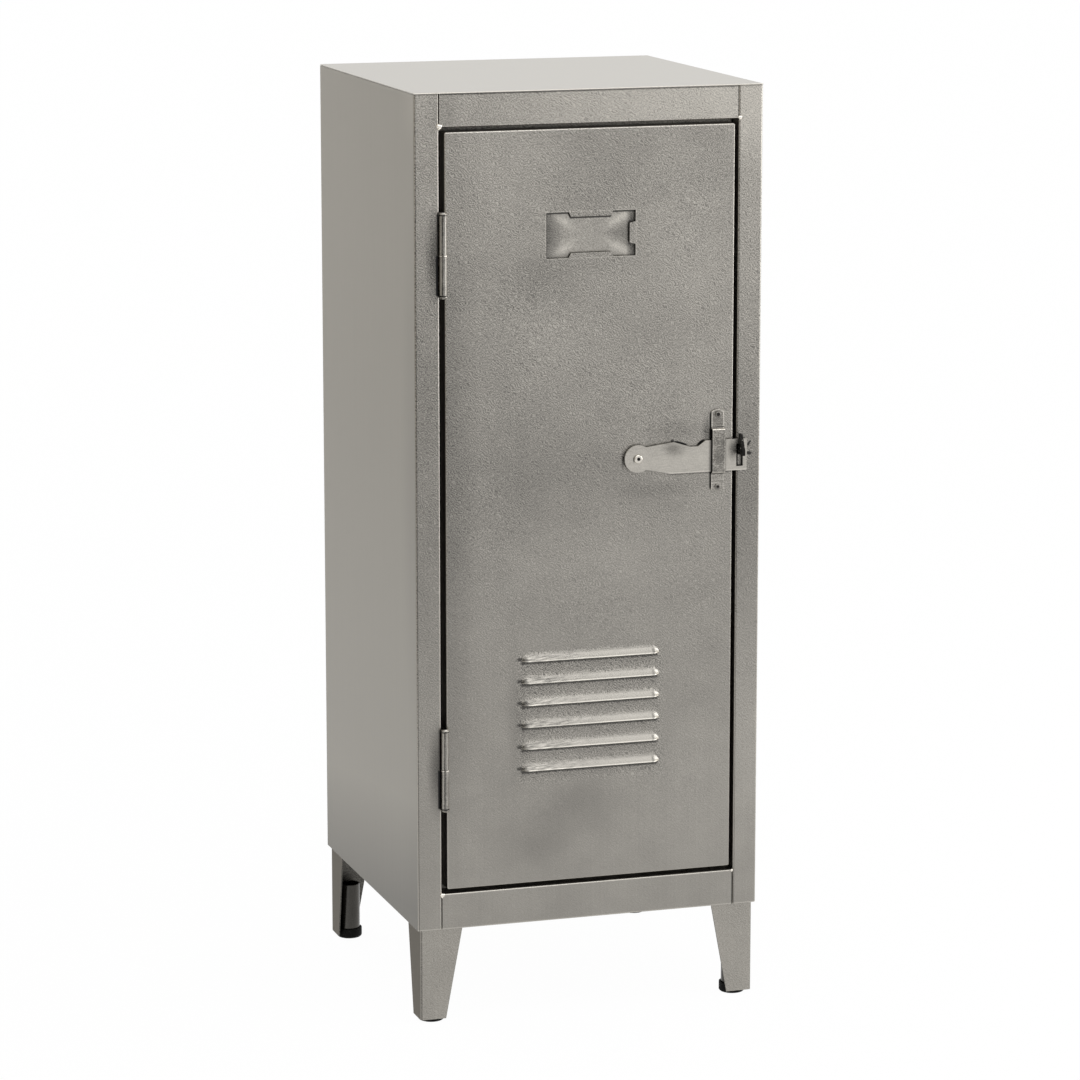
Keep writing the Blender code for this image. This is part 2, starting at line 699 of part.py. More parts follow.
def hinge(place, middle, steel, pin_steel):
    """Lift-off hinge: the frame's knuckle and pin below, a washer, then the door's knuckle under a cap.

    Gives back the two pieces that turn with the door.
    """
    centre = (HINGE_X, HINGE_Y)
    half_washer = WASHER_THICKNESS / 2
    frame_top = middle - half_washer - SEAM
    frame_foot = frame_top - KNUCKLE_LENGTH
    door_foot = middle + half_washer + SEAM
    door_top = door_foot + KNUCKLE_LENGTH
    knuckle(f"{place}_hinge_frame_knuckle", frame_foot, frame_top, -1, steel)
    door_knuckle = knuckle(f"{place}_hinge_door_knuckle", door_foot, door_top, 1, steel)
    bore = PIN_RADIUS + PIN_CLEARANCE
    prism(
        f"{place}_hinge_washer",
        circle(centre, CAP_RADIUS, ROUND_STEPS),
        "Z",
        middle - half_washer,
        middle + half_washer,
        pin_steel,
        holes=[circle(centre, bore, ROUND_STEPS)],
    )
    head = frame_foot - SEAM
    turned(
        f"{place}_hinge_pin",
        [
            (0, head - CAP_HEIGHT),
            (CAP_RADIUS * 0.7, head - CAP_HEIGHT),
            (CAP_RADIUS, head - CAP_HEIGHT / 2),
            (CAP_RADIUS, head),
            (PIN_RADIUS, head),
            (PIN_RADIUS, door_foot + PIN_ENTRY),
            (0, door_foot + PIN_ENTRY),
        ],
        "Z",
        centre,
        pin_steel,
    )
    seat = door_top + SEAM
    cap = turned(
        f"{place}_hinge_cap",
        [
            (0, seat - CAP_PLUG),
            (PIN_RADIUS, seat - CAP_PLUG),
            (PIN_RADIUS, seat),
            (CAP_RADIUS, seat),
            (CAP_RADIUS, seat + CAP_HEIGHT / 2),
            (CAP_RADIUS * 0.7, seat + CAP_HEIGHT),
            (0, seat + CAP_HEIGHT),
        ],
        "Z",
        centre,
        pin_steel,
    )
    return [door_knuckle, cap]


def arm_outline():
    """Outline of the latch arm about its pivot: round end, neck, shoulder, thumb notch and square end."""
    end = HOOK_X - PIVOT_X + SLOT_WIDTH / 2 + ARM_END_BAR
    neck_angle = math.asin(ARM_NECK_HALF / ARM_DISC)
    neck = ARM_DISC * math.cos(neck_angle) + ARM_NECK
    disc = circle((0, 0), ARM_DISC, SMALL_STEPS, neck_angle, 2 * (math.pi - neck_angle), closed=False)
    notch_floor = ARM_ABOVE - NOTCH_DEPTH
    return [
        *disc,
        (neck, -ARM_NECK_HALF),
        (ARM_SHOULDER, -ARM_BELOW),
        (end, -ARM_BELOW),
        (end, ARM_ABOVE),
        (NOTCH_END, ARM_ABOVE),
        (NOTCH_FLOOR_END, notch_floor),
        (NOTCH_FLOOR_START, notch_floor),
        (NOTCH_START, ARM_ABOVE),
        (neck, ARM_NECK_HALF),
    ]


def latch_arm(bright):
    middle = HOOK_X - PIVOT_X
    slot = rectangle(
        (middle - SLOT_WIDTH / 2, -SLOT_BELOW), (middle + SLOT_WIDTH / 2, SLOT_ABOVE), 0.0
    )
    hole = circle((0, 0), PIVOT_RADIUS + RIVET_CLEARANCE, SMALL_STEPS)

    def placed(points):
        return [(PIVOT_X + x, PIVOT_Z + z) for x, z in points]

    return prism(
        "latch_arm",
        placed(arm_outline()),
        "Y",
        ARM_FRONT,
        ARM_BACK,
        bright,
        holes=[placed(slot), placed(hole)],
    )


def rivet(name, x, z, seat, radius, head, height, material):
    """Rivet through the door's face, its dished head on seat and its tail behind the face."""
    tail = DOOR_BACK + SEAM
    return turned(
        name,
        [
            (0, seat - SEAM - height / 2),
            (head * 0.35, seat - SEAM - height),
            (head * 0.75, seat - SEAM - height),
            (head, seat - SEAM - height / 3),
            (head, seat - SEAM),
            (radius, seat - SEAM),
            (radius, tail),
            (head, tail),
            (head * 0.8, tail + height * 0.6),
            (0, tail + height * 0.6),
        ],
        "Y",
        (x, z),
        material,
        SMALL_STEPS,
    )


def latch_pivot(bright):
    """Rivet and washer that the arm turns on."""
    pivot = rivet(
        "latch_pivot_rivet", PIVOT_X, PIVOT_Z, ARM_FRONT, PIVOT_RADIUS, PIVOT_HEAD, PIVOT_HEAD_HEIGHT, bright
    )
    washer_back = FRONT - SEAM
    washer = prism(
        "latch_pivot_washer",
        circle((PIVOT_X, PIVOT_Z), PIVOT_WASHER_RADIUS, ROUND_STEPS),
        "Y",
        washer_back - PIVOT_WASHER_THICKNESS,
        washer_back,
        bright,
        holes=[circle((PIVOT_X, PIVOT_Z), PIVOT_RADIUS + RIVET_CLEARANCE, ROUND_STEPS)],
    )
    return [pivot, washer]


def keeper_span():
    """Lower and upper outer faces of the raised part of the keeper strap."""
    swing = (KEEPER_X + KEEPER_WIDTH / 2 - PIVOT_X) * math.sin(LATCH_LIFT)
    low = PIVOT_Z - ARM_BELOW - KEEPER_PLAY - KEEPER_THICKNESS
    high = PIVOT_Z + ARM_ABOVE + swing + KEEPER_PLAY + KEEPER_THICKNESS
    return low, high


def keeper(steel, bright):
    """Strap that bridges the arm, with a rounded tab riveted to the door at each end."""
    low, high = keeper_span()
    foot = FRONT - SEAM - KEEPER_THICKNESS
    crest = ARM_FRONT - KEEPER_PLAY - KEEPER_THICKNESS
    path = [
        (foot, high + KEEPER_TAB + CUT),
        (foot, high),
        (crest, high),
        (crest, low),
        (foot, low),
        (foot, low - KEEPER_TAB - CUT),
    ]
    left, right = KEEPER_X - KEEPER_WIDTH / 2, KEEPER_X + KEEPER_WIDTH / 2
    strap = prism("keeper_strap", folded(path, KEEPER_THICKNESS), "X", left, right, steel)

    crown = (KEEPER_WIDTH**2 / 4 + KEEPER_ROUND**2) / (2 * KEEPER_ROUND)
    spread = math.asin(KEEPER_WIDTH / 2 / crown)
    upper = circle(
        (KEEPER_X, high + KEEPER_TAB - crown),
        crown,
        SMALL_STEPS // 2,
        math.pi / 2 - spread,
        2 * spread,
        closed=False,
    )
    lower = circle(
        (KEEPER_X, low - KEEPER_TAB + crown),
        crown,
        SMALL_STEPS // 2,
        -math.pi / 2 - spread,
        2 * spread,
        closed=False,
    )
    ends = [
        (x + math.copysign(CUT, x - KEEPER_X) if i in (0, len(arc) - 1) else x, z)
        for arc in (upper, lower)
        for i, (x, z) in enumerate(arc)
    ]
    holes = [
        circle((KEEPER_X, level), KEEPER_RIVET_RADIUS + RIVET_CLEARANCE, SMALL_STEPS)
        for level in keeper_rivets().values()
    ]
    blank = prism("keeper_blank", ends, "Y", crest - CUT, FRONT + CUT, steel, holes=holes, smooth=False)
    combine(strap, blank, "INTERSECT")
    pieces = [strap]
    for place, level in keeper_rivets().items():
        fastener = rivet(
            f"keeper_rivet_{place}",
            KEEPER_X,
            level,
            foot,
            KEEPER_RIVET_RADIUS,
            KEEPER_RIVET_HEAD,
            KEEPER_RIVET_HEIGHT,
            bright,
        )
        pieces.append(fastener)
    return pieces


def latch_hook(dark):
    """Hook plate on the stile: its neck fills the upper end of the slot, and its tip stands in front of the arm."""
    neck_top = PIVOT_Z + SLOT_ABOVE - HOOK_PLAY
    neck_foot = neck_top - HOOK_NECK
    tip_top = neck_top + (HOOK_X - PIVOT_X) * math.sin(LATCH_LIFT)
    tip_back = ARM_FRONT - HOOK_PLAY
    nose = FRONT - HOOK_REACH
    root = FRONT - SEAM
    profile = [
        (root, neck_foot),
        (root, neck_top),
        (tip_back, neck_top),
        (tip_back, tip_top),
        (tip_back - HOOK_TIP, tip_top),
        (nose, neck_foot + HOOK_NOSE),
        (nose, neck_foot),
    ]
    eye = circle((FRONT - EYE_REACH, neck_foot + EYE_WALL + EYE_RADIUS), EYE_RADIUS, SMALL_STEPS)
    half = HOOK_THICKNESS / 2
    prism("latch_hook", profile, "X", HOOK_X - half, HOOK_X + half, dark, holes=[eye])


def main():
    clear_scene()
    steel = steel_like("brushed_steel", (0.53, 0.51, 0.48), 0.42, 1.0)
    bright = steel_like("bright_steel", (0.68, 0.66, 0.62), 0.32, 1.0)
    dark = steel_like("dark_steel", (0.12, 0.11, 0.10), 0.45, 1.0)
    rubber = steel_like("black_rubber", (0.012, 0.012, 0.012), 0.7, 0.0)
    shell(steel)
    shelf(steel)
    for depth_name, sign_y in (("front", -1), ("rear", 1)):
        for side_name, sign_x in (("left", -1), ("right", 1)):
            leg(f"{depth_name}_{side_name}", sign_x, sign_y, steel, dark, rubber)
    door = [door_skin(steel)]
    for place, middle in HINGE_LEVELS.items():
        door += hinge(place, middle, bright, bright)
    door += latch_pivot(bright) + keeper(steel, bright)
    latch_hook(dark)
    door_axis = carry("door_axis", (HINGE_X, HINGE_Y, 0), door)
    carry("latch_axis", (PIVOT_X, ARM_FRONT, PIVOT_Z), [latch_arm(bright)], door_axis)


main()
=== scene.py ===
"""Looks of the sheet-steel locker: finishes, pressed door, lift latch, rivets, welds, studio and camera.

Metres, +Z up, in the same frame as the CAD. The front faces -Y and the door hinges on the left.
"""

import math

import bpy
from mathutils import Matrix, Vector


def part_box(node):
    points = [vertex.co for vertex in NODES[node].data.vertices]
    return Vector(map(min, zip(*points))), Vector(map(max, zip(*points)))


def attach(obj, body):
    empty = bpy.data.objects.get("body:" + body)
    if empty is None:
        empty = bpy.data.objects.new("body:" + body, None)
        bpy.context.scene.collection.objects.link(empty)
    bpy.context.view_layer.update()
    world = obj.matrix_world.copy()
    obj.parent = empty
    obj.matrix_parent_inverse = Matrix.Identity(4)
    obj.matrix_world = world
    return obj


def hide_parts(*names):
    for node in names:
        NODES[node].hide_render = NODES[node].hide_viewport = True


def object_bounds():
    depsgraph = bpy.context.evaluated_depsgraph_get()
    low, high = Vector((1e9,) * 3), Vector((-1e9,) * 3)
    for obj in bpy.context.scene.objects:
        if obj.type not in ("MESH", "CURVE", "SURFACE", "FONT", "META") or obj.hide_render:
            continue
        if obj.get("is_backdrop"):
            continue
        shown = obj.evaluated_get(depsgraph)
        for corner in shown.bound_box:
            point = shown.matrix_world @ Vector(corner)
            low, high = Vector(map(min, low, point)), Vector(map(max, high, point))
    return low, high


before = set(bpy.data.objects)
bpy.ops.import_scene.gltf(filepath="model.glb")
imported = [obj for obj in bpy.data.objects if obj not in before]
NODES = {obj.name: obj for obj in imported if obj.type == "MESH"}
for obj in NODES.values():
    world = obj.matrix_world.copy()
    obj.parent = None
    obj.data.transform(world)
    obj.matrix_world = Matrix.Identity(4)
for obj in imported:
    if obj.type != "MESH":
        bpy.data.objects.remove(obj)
CAD_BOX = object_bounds()
MM = 0.001


def node_box(name):
    """Lowest corner, highest corner and middle of a CAD node."""
    low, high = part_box(name)
    return low, high, (low + high) / 2


# Sizes repeated from the CAD source
SHEET = 1.2 * MM
BEND = 2.0 * MM  # outer radius of the folds
DOOR_DEPTH = 18 * MM
DOOR_LIP = 11 * MM
GAP_TOP = 4.3 * MM
GAP_BOTTOM = 4.0 * MM
CARD_WIDTH = 90 * MM
CARD_HEIGHT = 44 * MM
CARD_DROP = 102 * MM
CARD_TAB_LENGTH = 45 * MM
CARD_TAB_DEPTH = 4.6 * MM
CARD_TAB_SLOPE = 2.5 * MM
CARD_STOP_LENGTH = 22 * MM
CARD_STOP_DEPTH = 6 * MM
CARD_RIM = 5 * MM
LOUVRE_COUNT = 6
LOUVRE_PITCH = 21.8 * MM
LOUVRE_LENGTH = 142 * MM
LOUVRE_HEIGHT = 10 * MM
LOUVRE_REACH = 6 * MM
LOUVRE_RISE = 113.7 * MM
ARM_DISC = 13.6 * MM
ARM_NECK_HALF = 11.0 * MM
ARM_NECK = math.sqrt(ARM_DISC**2 - ARM_NECK_HALF**2)  # from the pivot to where the disc ends
ARM_ABOVE = 14.6 * MM
ARM_BELOW = 16.4 * MM
ARM_SHOULDER = 34 * MM
NOTCH_START = 36.5 * MM
NOTCH_FLOOR_START = 53.5 * MM
NOTCH_FLOOR_END = 61.5 * MM
NOTCH_END = 69.5 * MM
NOTCH_DEPTH = 5.4 * MM
SLOT_WIDTH = 6.8 * MM
SLOT_ABOVE = 9.9 * MM
SLOT_BELOW = 12.4 * MM
PIVOT_HEAD_HEIGHT = 1.7 * MM
KEEPER_RIVET_HEIGHT = 1.1 * MM
KEEPER_TAB = 18.7 * MM
KEEPER_ROUND = 3 * MM

# Sizes of what only the looks have
CARD_STOP_SLOPE = 1.5 * MM  # rounded corners of the card holder's right tab
CARD_CROWN = 0.9 * MM  # middle of the card holder's floor behind the tabs
CARD_TROUGH = 2.2 * MM  # its edges behind the tabs
CARD_SHEET = 0.9 * MM
LOUVRE_TAPER = 9 * MM  # rounded end of each hood
BEAD_RADIUS = 3.0 * MM
BEAD_HEIGHT = 1.5 * MM
DENT = 0.16 * MM  # height of the waves in the door's face
STROKE_PERIOD = 2.1 * MM  # sanding strokes, crest to crest
CROSS_PERIOD = 2.2 * MM  # strokes the other way
SPECKLE = 1.0  # cells of the sanding's speckle, in mm
SANDED_LOW, SANDED_HIGH = 0.13, 0.64  # heights between which the sanding grows stronger

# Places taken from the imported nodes
SHELL_LOW, SHELL_HIGH, _ = node_box("left_side_panel")
FRONT = SHELL_LOW.y
SIDE = -SHELL_LOW.x
DOOR_LOW, DOOR_HIGH, DOOR_MIDDLE = node_box("door_skin")
OPENING = node_box("top_rail")[1].x
HEAD = DOOR_HIGH.z + GAP_TOP
SILL = DOOR_LOW.z - GAP_BOTTOM
CARD = Vector((DOOR_MIDDLE.x, 0, DOOR_HIGH.z - CARD_DROP))
LOUVRES = [DOOR_LOW.z + LOUVRE_RISE + i * LOUVRE_PITCH for i in range(LOUVRE_COUNT)]
LOUVRE_LEFT = DOOR_MIDDLE.x - LOUVRE_LENGTH / 2
LOUVRE_RIGHT = DOOR_MIDDLE.x + LOUVRE_LENGTH / 2
LOUVRE_FOOT = LOUVRES[0] - LOUVRE_PITCH / 2
LOUVRE_HEAD = LOUVRES[-1] + LOUVRE_HEIGHT / 2
ARM_LOW, ARM_HIGH, _ = node_box("latch_arm")
PIVOT = node_box("latch_pivot_rivet")[2]
HOOK = node_box("latch_hook")[2]
STRAP_LOW, STRAP_HIGH, _ = node_box("keeper_strap")
PAIR = ("upper", "lower")


# Materials

def add_node(tree, kind, inputs=None, **settings):
    """A shader node with its settings, and its inputs linked or given a value."""
    node = tree.nodes.new("ShaderNode" + kind)
    for name, value in settings.items():
        setattr(node, name, value)
    for key, value in (inputs or {}).items():
        if isinstance(value, bpy.types.NodeSocket):
            tree.links.new(value, node.inputs[key])
        else:
            node.inputs[key].default_value = value
    return node


class Finish:
    """A node material under construction, with textures placed in the piece's own metres."""

    def __init__(self, name, metallic, coat=0.0, coat_roughness=0.3, specular=0.5, tint=(1.0, 1.0, 1.0)):
        self.material = bpy.data.materials.new(name)
        self.material.use_nodes = True
        self.tree = self.material.node_tree
        self.shader = self.tree.nodes["Principled BSDF"]
        constants = {
            "Metallic": metallic, "Coat Weight": coat, "Coat Roughness": coat_roughness,
            "Specular IOR Level": specular, "Specular Tint": (*tint, 1),
        }
        for socket, value in constants.items():
            self.shader.inputs[socket].default_value = value
        coordinates = self.add("TexCoord")
        self.place = coordinates.outputs["Object"]
        self.facing = coordinates.outputs["Normal"]
        self.x, self.y, self.z = (self.axis(self.place, axis) for axis in "XYZ")

    def add(self, kind, inputs=None, **settings):
        return add_node(self.tree, kind, inputs, **settings)

    def math(self, operation, a, b=0.0):
        return self.add("Math", {0: a, 1: b}, operation=operation).outputs[0]

    def minus(self, a, b):
        return self.math("SUBTRACT", a, b)

    def absolute(self, value):
        return self.math("ABSOLUTE", value)

    def axis(self, vector, name):
        return self.add("SeparateXYZ", {0: vector}).outputs[name]

    def square_to(self, name):
        """How squarely a face looks along an axis, either way."""
        return self.absolute(self.axis(self.facing, name))

    def total(self, start, *terms):
        """start plus each (value, weight)."""
        result = start
        for value, weight in terms:
            inputs = {0: value, 1: weight, 2: result}
            result = self.add("Math", inputs, operation="MULTIPLY_ADD").outputs[0]
        return result

    def product(self, first, *others):
        for other in others:
            first = self.math("MULTIPLY", first, other)
        return first

    def either(self, first, *others):
        for other in others:
            first = self.math("MAXIMUM", first, other)
        return first

    def between(self, value, low, high, curve="LINEAR"):
        """Zero at low, one at high, clamped."""
        inputs = {"Value": value, "From Min": low, "From Max": high}
        return self.add("MapRange", inputs, interpolation_type=curve).outputs["Result"]

    def near(self, value, centre, reach):
        """One at the centre, fading smoothly to zero at the reach."""
        return self.between(self.absolute(self.minus(value, centre)), reach, 0.0, "SMOOTHSTEP")

    def band(self, value, low, high, soft):
        """One from low to high, fading to zero within soft outside them."""
        return self.product(self.between(value, low - soft, low), self.between(value, high + soft, high))

    def grain(self, *cell, turn=(0, 0, 0), detail=2, distortion=0.0):
        """Noise about zero, with cells of one or three sizes in mm along axes turned by degrees."""
        sizes = [size * MM for size in (cell if len(cell) == 3 else cell * 3)]
        mapping = self.add(
            "Mapping",
            {"Vector": self.place, "Rotation": [math.radians(a) for a in turn], "Scale": sizes},
            vector_type="TEXTURE",
        )
        noise = self.add(
            "TexNoise",
            {"Vector": mapping.outputs[0], "Scale": 1.0, "Detail": detail, "Distortion": distortion},
        )
        return self.minus(noise.outputs["Fac"], 0.5)

    def ripple(self, period, turn, wander):
        """Waves about zero, a period apart along lines turned about Y, wandering by a noise."""
        angle = math.radians(turn)
        across = self.total(self.math("MULTIPLY", self.x, math.sin(angle)), (self.z, math.cos(angle)))
        return self.math("SINE", self.total(wander, (across, 2 * math.pi / period)))

    def spot(self, centre, radii, turn=0.0):
        """One at the centre, fading smoothly to zero at the radii; turned about Y in degrees."""
        rotation = (0, math.radians(turn), 0)
        mapping = self.add(
            "Mapping",
            {"Vector": self.place, "Location": centre, "Rotation": rotation, "Scale": radii},
            vector_type="TEXTURE",
        )
        inputs = {"Vector": mapping.outputs[0]}
        gradient = self.add("TexGradient", inputs, gradient_type="SPHERICAL")
        return self.between(gradient.outputs["Fac"], 0.0, 1.0, "SMOOTHSTEP")

    def spots(self, rows):
        """(mask, weight) for each row of a table of spots."""
        return [
            (self.spot((x * MM, FRONT, z * MM), (across * MM, SPOT_DEPTH, up * MM), *turn), weight)
            for x, z, across, up, weight, *turn in rows
        ]

    def rounded_edges(self):
        """One on the folds and rounded edges, zero on faces square to an axis."""
        return self.between(self.either(*[self.square_to(axis) for axis in "XYZ"]), 0.985, 0.85)

    def ahead(self):
        """One on the front and on what stands before it, zero behind its sheets."""
        return self.between(self.y, FRONT + 0.8 * MM, FRONT + 0.5 * MM)

    def facing_front(self):
        """One on faces that look forwards or backwards."""
        return self.between(self.square_to("Y"), 0.4, 0.7)

    def facing_middle(self):
        """One on faces that look towards the upright middle line."""
        flat = self.add("VectorMath", {0: self.place, 1: (1, 1, 0)}, operation="MULTIPLY")
        inputs = {0: flat.outputs[0], 1: self.facing}
        towards = self.add("VectorMath", inputs, operation="DOT_PRODUCT")
        return self.between(towards.outputs["Value"], -0.02, -0.08)

    def colour(self, tone, dark, middle, light, details=None, spots=(), soot=None):
        """Colour from a tone of 0 to 1 through three colours.

        details gives more (mask, weight) terms of the tone, spots is a table of spots, and the last
        argument gives a mask of where shadow is painted black on the front.
        """
        if details:
            tone = self.total(tone, *details(self))
        ramp = self.add("ValToRGB", {"Fac": self.total(tone, *self.spots(spots))})
        stops = ramp.color_ramp.elements
        stops[0].color = (*dark, 1)
        stops[1].color = (*light, 1)
        stops.new(0.5).color = (*middle, 1)
        result = ramp.outputs["Color"]
        # where shadow is painted, the colour is mixed to black
        if soot:
            inputs = {0: self.product(soot(self), self.ahead()), 6: result, 7: SHADOW_BLACK}
            result = self.add("Mix", inputs, data_type="RGBA").outputs[2]
        self.tree.links.new(result, self.shader.inputs["Base Color"])

    def surfaced(self, roughness, height, strength, distance):
        """The material, with its roughness and bump."""
        bump = self.add("Bump", {"Height": height, "Strength": strength, "Distance": distance})
        self.tree.links.new(roughness, self.shader.inputs["Roughness"])
        self.tree.links.new(bump.outputs["Normal"], self.shader.inputs["Normal"])
        return self.material


WARM = (1.0, 0.948, 0.855)  # tint of the bare steel
# black that is painted where shadow falls
SHADOW_BLACK = (0.004, 0.004, 0.004, 1)
SPOT_DEPTH = 60 * MM  # reach of a spot along Y


def warm(level):
    return tuple(level * share for share in WARM)


def sanded_steel(
    name, tone=0.515, sanding=1.0, coat=0.5, edge_tone=0.22, side_shade=0.0, inside_shade=0.0,
    rubbing=None, glancing=(1.0, 0.97, 0.905), **marks,
):
    """Bare sheet steel, sanded in short diagonal strokes on its front and lacquered.

    Other faces are brushed smooth. The side and inside tones are painted shade on faces that look
    sideways and towards the locker's middle. rubbing gives how strongly each place is sanded, glancing
    is the colour seen edge-on, and marks go to colour.
    """
    mat = Finish(name, 1.0, coat=coat, coat_roughness=0.35, tint=glancing)
    wander = mat.product(mat.grain(3.2, detail=0), 14.0)
    strokes = mat.ripple(STROKE_PERIOD, 40, wander)
    crossing = mat.ripple(CROSS_PERIOD, -42, wander)
    speckle = mat.grain(SPECKLE, detail=0)
    turns = mat.between(mat.grain(13, detail=1), -0.14, 0.1)
    brushed = mat.grain(1.6, 1.6, 160)
    clouds = mat.grain(110, 110, 140, distortion=0.4)
    patches = mat.grain(30, 30, 24)

    strength = mat.total(0.2, (mat.between(mat.z, SANDED_LOW, SANDED_HIGH), 1.0))
    front = mat.facing_front()
    hatch = mat.total(
        mat.product(speckle, 0.64),
        (mat.product(strokes, mat.total(0.45, (turns, 0.7))), 0.14),
        (mat.product(crossing, mat.total(1.0, (turns, -0.8))), 0.1),
    )
    hatch = mat.product(hatch, strength, front, sanding)
    if rubbing:
        hatch = mat.product(hatch, rubbing(mat))
    # faces that look sideways, for the painted shade on them
    sideways = mat.between(mat.square_to("X"), 0.6, 0.9)
    # edges made lighter by edge_tone: partly wear, partly a painted highlight
    edge_wear_and_highlight = mat.rounded_edges()
    mottle = mat.product(mat.total(0.0, (clouds, 0.2), (patches, 0.12)), front)
    level = mat.total(
        tone, (hatch, 1.0), (brushed, 0.06), (mottle, 1.0), (sideways, side_shade), (edge_wear_and_highlight, edge_tone)
    )
    # painted shade on faces that look towards the locker's middle
    if inside_shade:
        level = mat.total(level, (mat.facing_middle(), inside_shade))
    mat.colour(level, warm(0.06), warm(0.285), warm(0.58), **marks)
    roughness = mat.total(0.43, (hatch, 0.3), (mottle, 0.6), (edge_wear_and_highlight, -0.13))
    return mat.surfaced(roughness, hatch, 0.15, 0.2 * MM)


def louvre_hoods(mat):
    """One on the louvres' hoods, zero on the flat of the door."""
    return mat.between(mat.y, FRONT - 0.5 * MM, FRONT - 1.6 * MM)


def louvre_sanding(mat):
    """How strongly the door is sanded: more between the louvres, little on their hoods."""
    rows = mat.band(mat.z, LOUVRE_FOOT, LOUVRE_HEAD, 6 * MM)
    within = mat.band(mat.x, LOUVRE_LEFT, LOUVRE_RIGHT, 6 * MM)
    return mat.total(1.0, (mat.product(rows, within), 1.4), (louvre_hoods(mat), -1.8))


def louvre_tones(mat):
    """Painted highlights on lips and tips, streaks towards the hinge end and a painted shade line under
    each lip.
    """
    proud = louvre_hoods(mat)
    climb = mat.math("DIVIDE", mat.minus(mat.z, LOUVRES[0]), LOUVRE_PITCH)
    phase = mat.math("FRACT", climb)
    rows = mat.band(mat.z, LOUVRE_FOOT, LOUVRE_HEAD, 0.2 * MM)
    below = mat.band(mat.z, LOUVRE_FOOT, LOUVRES[-1], 0.2 * MM)
    within = mat.band(mat.x, LOUVRE_LEFT + 2 * MM, LOUVRE_RIGHT - 3 * MM, 3 * MM)
    # painted shade under each lip
    line = mat.product(mat.between(phase, 0.81, 0.87), below, within)
    shade = mat.product(mat.between(phase, 0.45, 0.9), below, within)
    # painted shadow beside each hood's left end
    end_shadow = mat.product(
        mat.near(mat.x, LOUVRE_LEFT - 0.5 * MM, 5 * MM), mat.near(phase, 0.08, 0.14), rows
    )
    # painted highlight along each lip, painted shade on each hood's middle
    lip = mat.product(proud, mat.near(phase, 0.0, 0.06))
    belly_shade = mat.product(proud, mat.band(phase, 0.08, 0.18, 0.06))
    # painted shade on the hoods' hinge half, with streaks in it
    towards_hinge = mat.between(mat.x, LOUVRE_LEFT + 85 * MM, LOUVRE_LEFT + 20 * MM)
    hinge_half = mat.product(proud, towards_hinge)
    streaks = mat.product(mat.grain(9, 9, 1.0, turn=(0, -5, 0)), hinge_half)
    # painted sheen towards the right end, and a painted glint on each right tip
    sheen = mat.product(proud, mat.between(mat.x, LOUVRE_LEFT + 50 * MM, LOUVRE_RIGHT))
    tip = mat.product(proud, mat.between(mat.x, LOUVRE_RIGHT - 9 * MM, LOUVRE_RIGHT - 4 * MM))
    # takes the painted edge highlight off the hoods
    soft_edges = mat.product(proud, mat.rounded_edges())
    return (
        (soft_edges, -0.22), (line, -0.42), (shade, -0.12), (end_shadow, -0.7), (lip, 0.3),
        (belly_shade, -0.12), (hinge_half, -0.08), (streaks, 1.4), (sheen, 0.05), (tip, 0.2),
    )


# mask of the painted shade in the gap around the door
def deep_edges(mat):
    """One on the flanges and stops that stand back from the front around the door."""
    back = mat.between(mat.y, FRONT + 2.0 * MM, FRONT + 4 * MM)
    within = mat.between(mat.absolute(mat.x), SIDE - 2 * MM, SIDE - 4 * MM)
    return mat.product(back, within)


def arm_shade(mat):
    """Painted shadow line on the door under the latch arm."""
    edge = PIVOT.z - ARM_BELOW
    return mat.product(
        mat.band(mat.z, edge - 1.9 * MM, edge - 0.7 * MM, 0.5 * MM),
        mat.band(mat.x, PIVOT.x + ARM_SHOULDER, DOOR_HIGH.x, 3 * MM),
        mat.ahead(),
    )


def card_rim_highlight(mat):
    """Painted highlight line on the door around the card holder's window."""
    across = mat.absolute(mat.minus(mat.x, CARD.x))
    up = mat.absolute(mat.minus(mat.z, CARD.z))
    outside = mat.either(mat.minus(across, CARD_WIDTH / 2), mat.minus(up, CARD_HEIGHT / 2))
    return mat.product(mat.band(outside, 0.0, 0.9 * MM, 0.4 * MM), mat.facing_front())


def door_tones(mat):
    """Louvres, painted shadows around the latch arm, painted shade on the flanges and a painted
    highlight at the card holder's rim.
    """
    # painted contact shadows around the latch arm
    marks = [(mat.product(mask, mat.ahead()), weight) for mask, weight in mat.spots(ARM_CONTACT_SHADOWS)]
    return (
        *louvre_tones(mat), *marks,
        (deep_edges(mat), -0.3), (arm_shade(mat), -0.22), (card_rim_highlight(mat), 0.14),
    )


